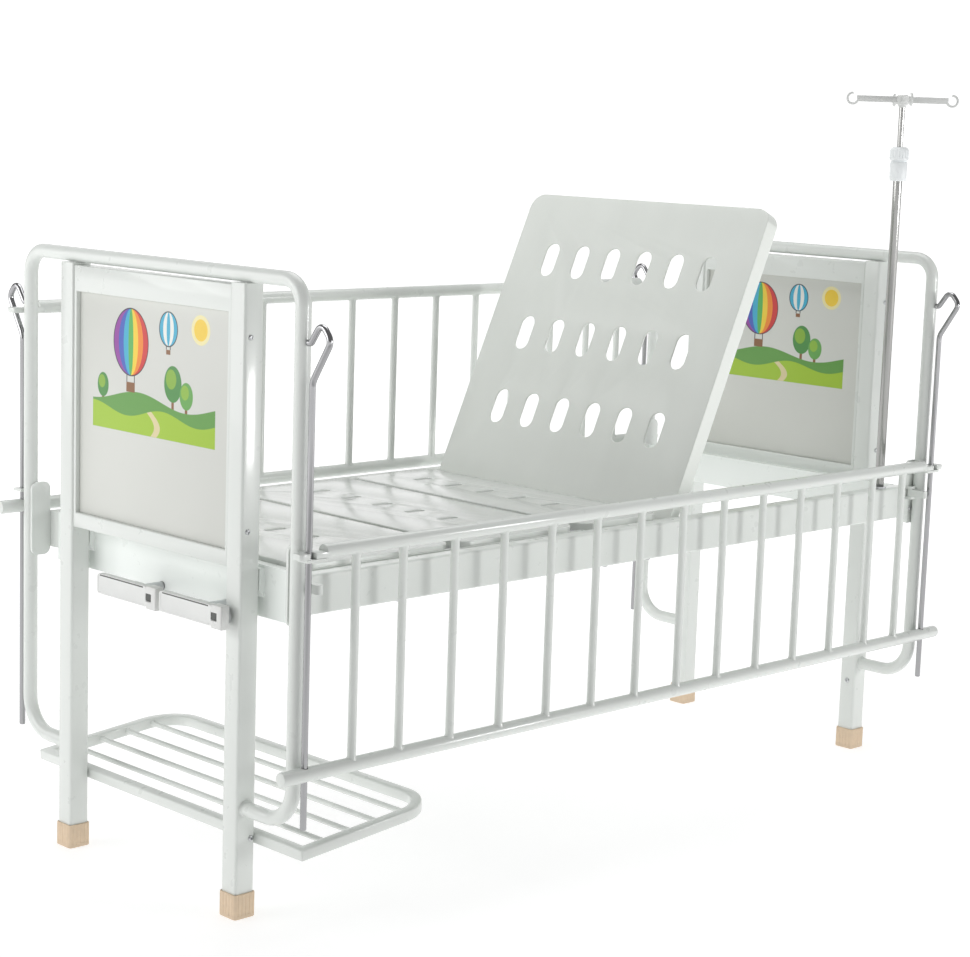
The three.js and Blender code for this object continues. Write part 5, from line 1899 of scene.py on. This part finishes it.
@dataclass
class Studio:
    """Pale floor, soft light and the camera of the photograph; all in metres."""

    eye: Place = (-3.2017, -3.1815, 1.3620)
    right: Place = (0.71515, -0.69818, 0.03328)
    up: Place = (0.0861, 0.1353, 0.9871)
    forward: Place = (0.69364, 0.70303, -0.15689)
    lens: float = 84.65
    sensor: float = 36.0
    sight: float = 200.0
    floor_size: float = 80.0
    floor_z: float = -0.0005
    floor_tones: Span = (0.47, 0.49)
    floor_grain: float = 60.0
    floor_roughness: float = 0.7
    floor_lit: Span = (0.3, 0.68)
    near_fade: Span = (1.6, 1.65)
    far_fade: Span = (3.0, 0.2)
    ring_fade: Span = (2.0, 1.4)
    surround: float = 0.22
    glow: float = 0.96
    glow_slope: Span = (1.8, 0.8)
    glow_power: float = 2.0
    haze: Span = (0.7, 35.0)
    lamps: tuple[Lamp, ...] = (
        Lamp("key_light", (-4.6, 1.2, 2.0), (0.0, 0.0, 0.6), 2.4, 52.0),
        Lamp("side_light", (-3.7, 2.9, 2.0), (0.0, 0.0, 0.6), 2.4, 35.0),
        Lamp("fill_light", (2.0, -4.2, 1.1), (0.1, -0.4, 0.5), 0.8, 46.0),
        Lamp("top_light", (0.4, 0.4, 4.2), (0.0, 0.0, 0.5), 3.0, 70.0),
    )

    def camera(self) -> None:
        """Sets the camera up."""
        data = bpy.data.cameras.new("photo_camera")
        data.lens = self.lens
        data.sensor_width = self.sensor
        data.clip_end = self.sight
        camera = bpy.data.objects.new("photo_camera", data)
        bpy.context.scene.collection.objects.link(camera)
        back = -Vector(self.forward)
        turn = Matrix((self.right, self.up, back)).transposed()
        camera.matrix_world = Matrix.Translation(self.eye) @ turn.to_4x4()
        bpy.context.scene.camera = camera

    def floor(self) -> None:
        """Lays the floor, which glows more the farther it lies from the camera and the cot."""
        Bench.rest()
        bpy.ops.mesh.primitive_plane_add(size=self.floor_size, location=(0, 0, self.floor_z))
        floor = bpy.context.object
        floor.name = "studio_floor"
        paint = Paint("floor_pale")
        grain = paint.noise(self.floor_grain, 3.0)
        low, high = [(tone,) * 3 for tone in self.floor_tones]
        paint.set("Base Color", paint.mix(grain, low, high))
        paint.set("Roughness", self.floor_roughness)
        along, across, _ = paint.axes()
        ahead = along * self.forward[0] + across * self.forward[1]
        low, high = [(tone,) * 3 for tone in self.floor_lit]
        near = paint.mix((ahead / self.near_fade[0] + self.near_fade[1]).held(), low, high)
        reach = (along * along + across * across) ** 0.5
        far = (ahead / self.far_fade[0] - self.far_fade[1]).held()
        far = (far + (reach / self.ring_fade[0] - self.ring_fade[1]).held()).held()
        paint.set("Emission Color", paint.mix(far, near, (1.0, 1.0, 1.0)))
        paint.set("Emission Strength", 1.0)
        floor.data.materials.append(paint.material)

    def light(self) -> None:
        """Sets a pale surround, brightest behind the cot and at the horizon, and the soft lights."""
        world = bpy.data.worlds.new("studio_surround")
        world.use_nodes = True
        graph = Graph(world.node_tree)
        way = graph.node("ShaderNodeTexCoord", out="Generated")
        behind = Vector((self.forward[0], self.forward[1], 0.0)).normalized()
        facing = graph.node(
            "ShaderNodeVectorMath", {"operation": "DOT_PRODUCT"}, {0: way, 1: tuple(behind)}, "Value")
        glow = (facing * self.glow_slope[0] - self.glow_slope[1]).held() ** self.glow_power
        rise = graph.node("ShaderNodeSeparateXYZ", {}, {0: way}, "Z")
        haze = (self.haze[0] - abs(rise) * self.haze[1]).held()
        sky = world.node_tree.nodes["Background"]
        sky.inputs["Color"].default_value = (1.0, 1.0, 1.0, 1.0)
        graph.plug(sky.inputs["Strength"], self.surround + self.glow * (glow + haze).held())
        bpy.context.scene.world = world
        bpy.context.scene.view_settings.view_transform = "Standard"
        for lamp in self.lamps:
            lamp.hang()

    def build(self) -> None:
        """Builds the studio."""
        self.camera()
        self.floor()
        self.light()


def main() -> None:
    """Builds the cot over its frame."""
    logging.basicConfig(level=logging.INFO, format="%(message)s")
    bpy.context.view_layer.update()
    Studio().build()
    for end in End:
        EndFrame(end).build()
    FootCaps().build()
    BedFrame().build()
    DeckBoards().build()
    SideRail(Side.NEAR, 657.0).build()
    SideRail(Side.FAR, 985.0).build()
    GuideRods().build()
    ShoeRack().build()
    DripPole().build()
    CrankHandle("back", 20.0).build()
    CrankHandle("thigh", -163.0).build()
    Fasteners().build()
    Bench.rest()


if __name__ == "__main__":
    main()
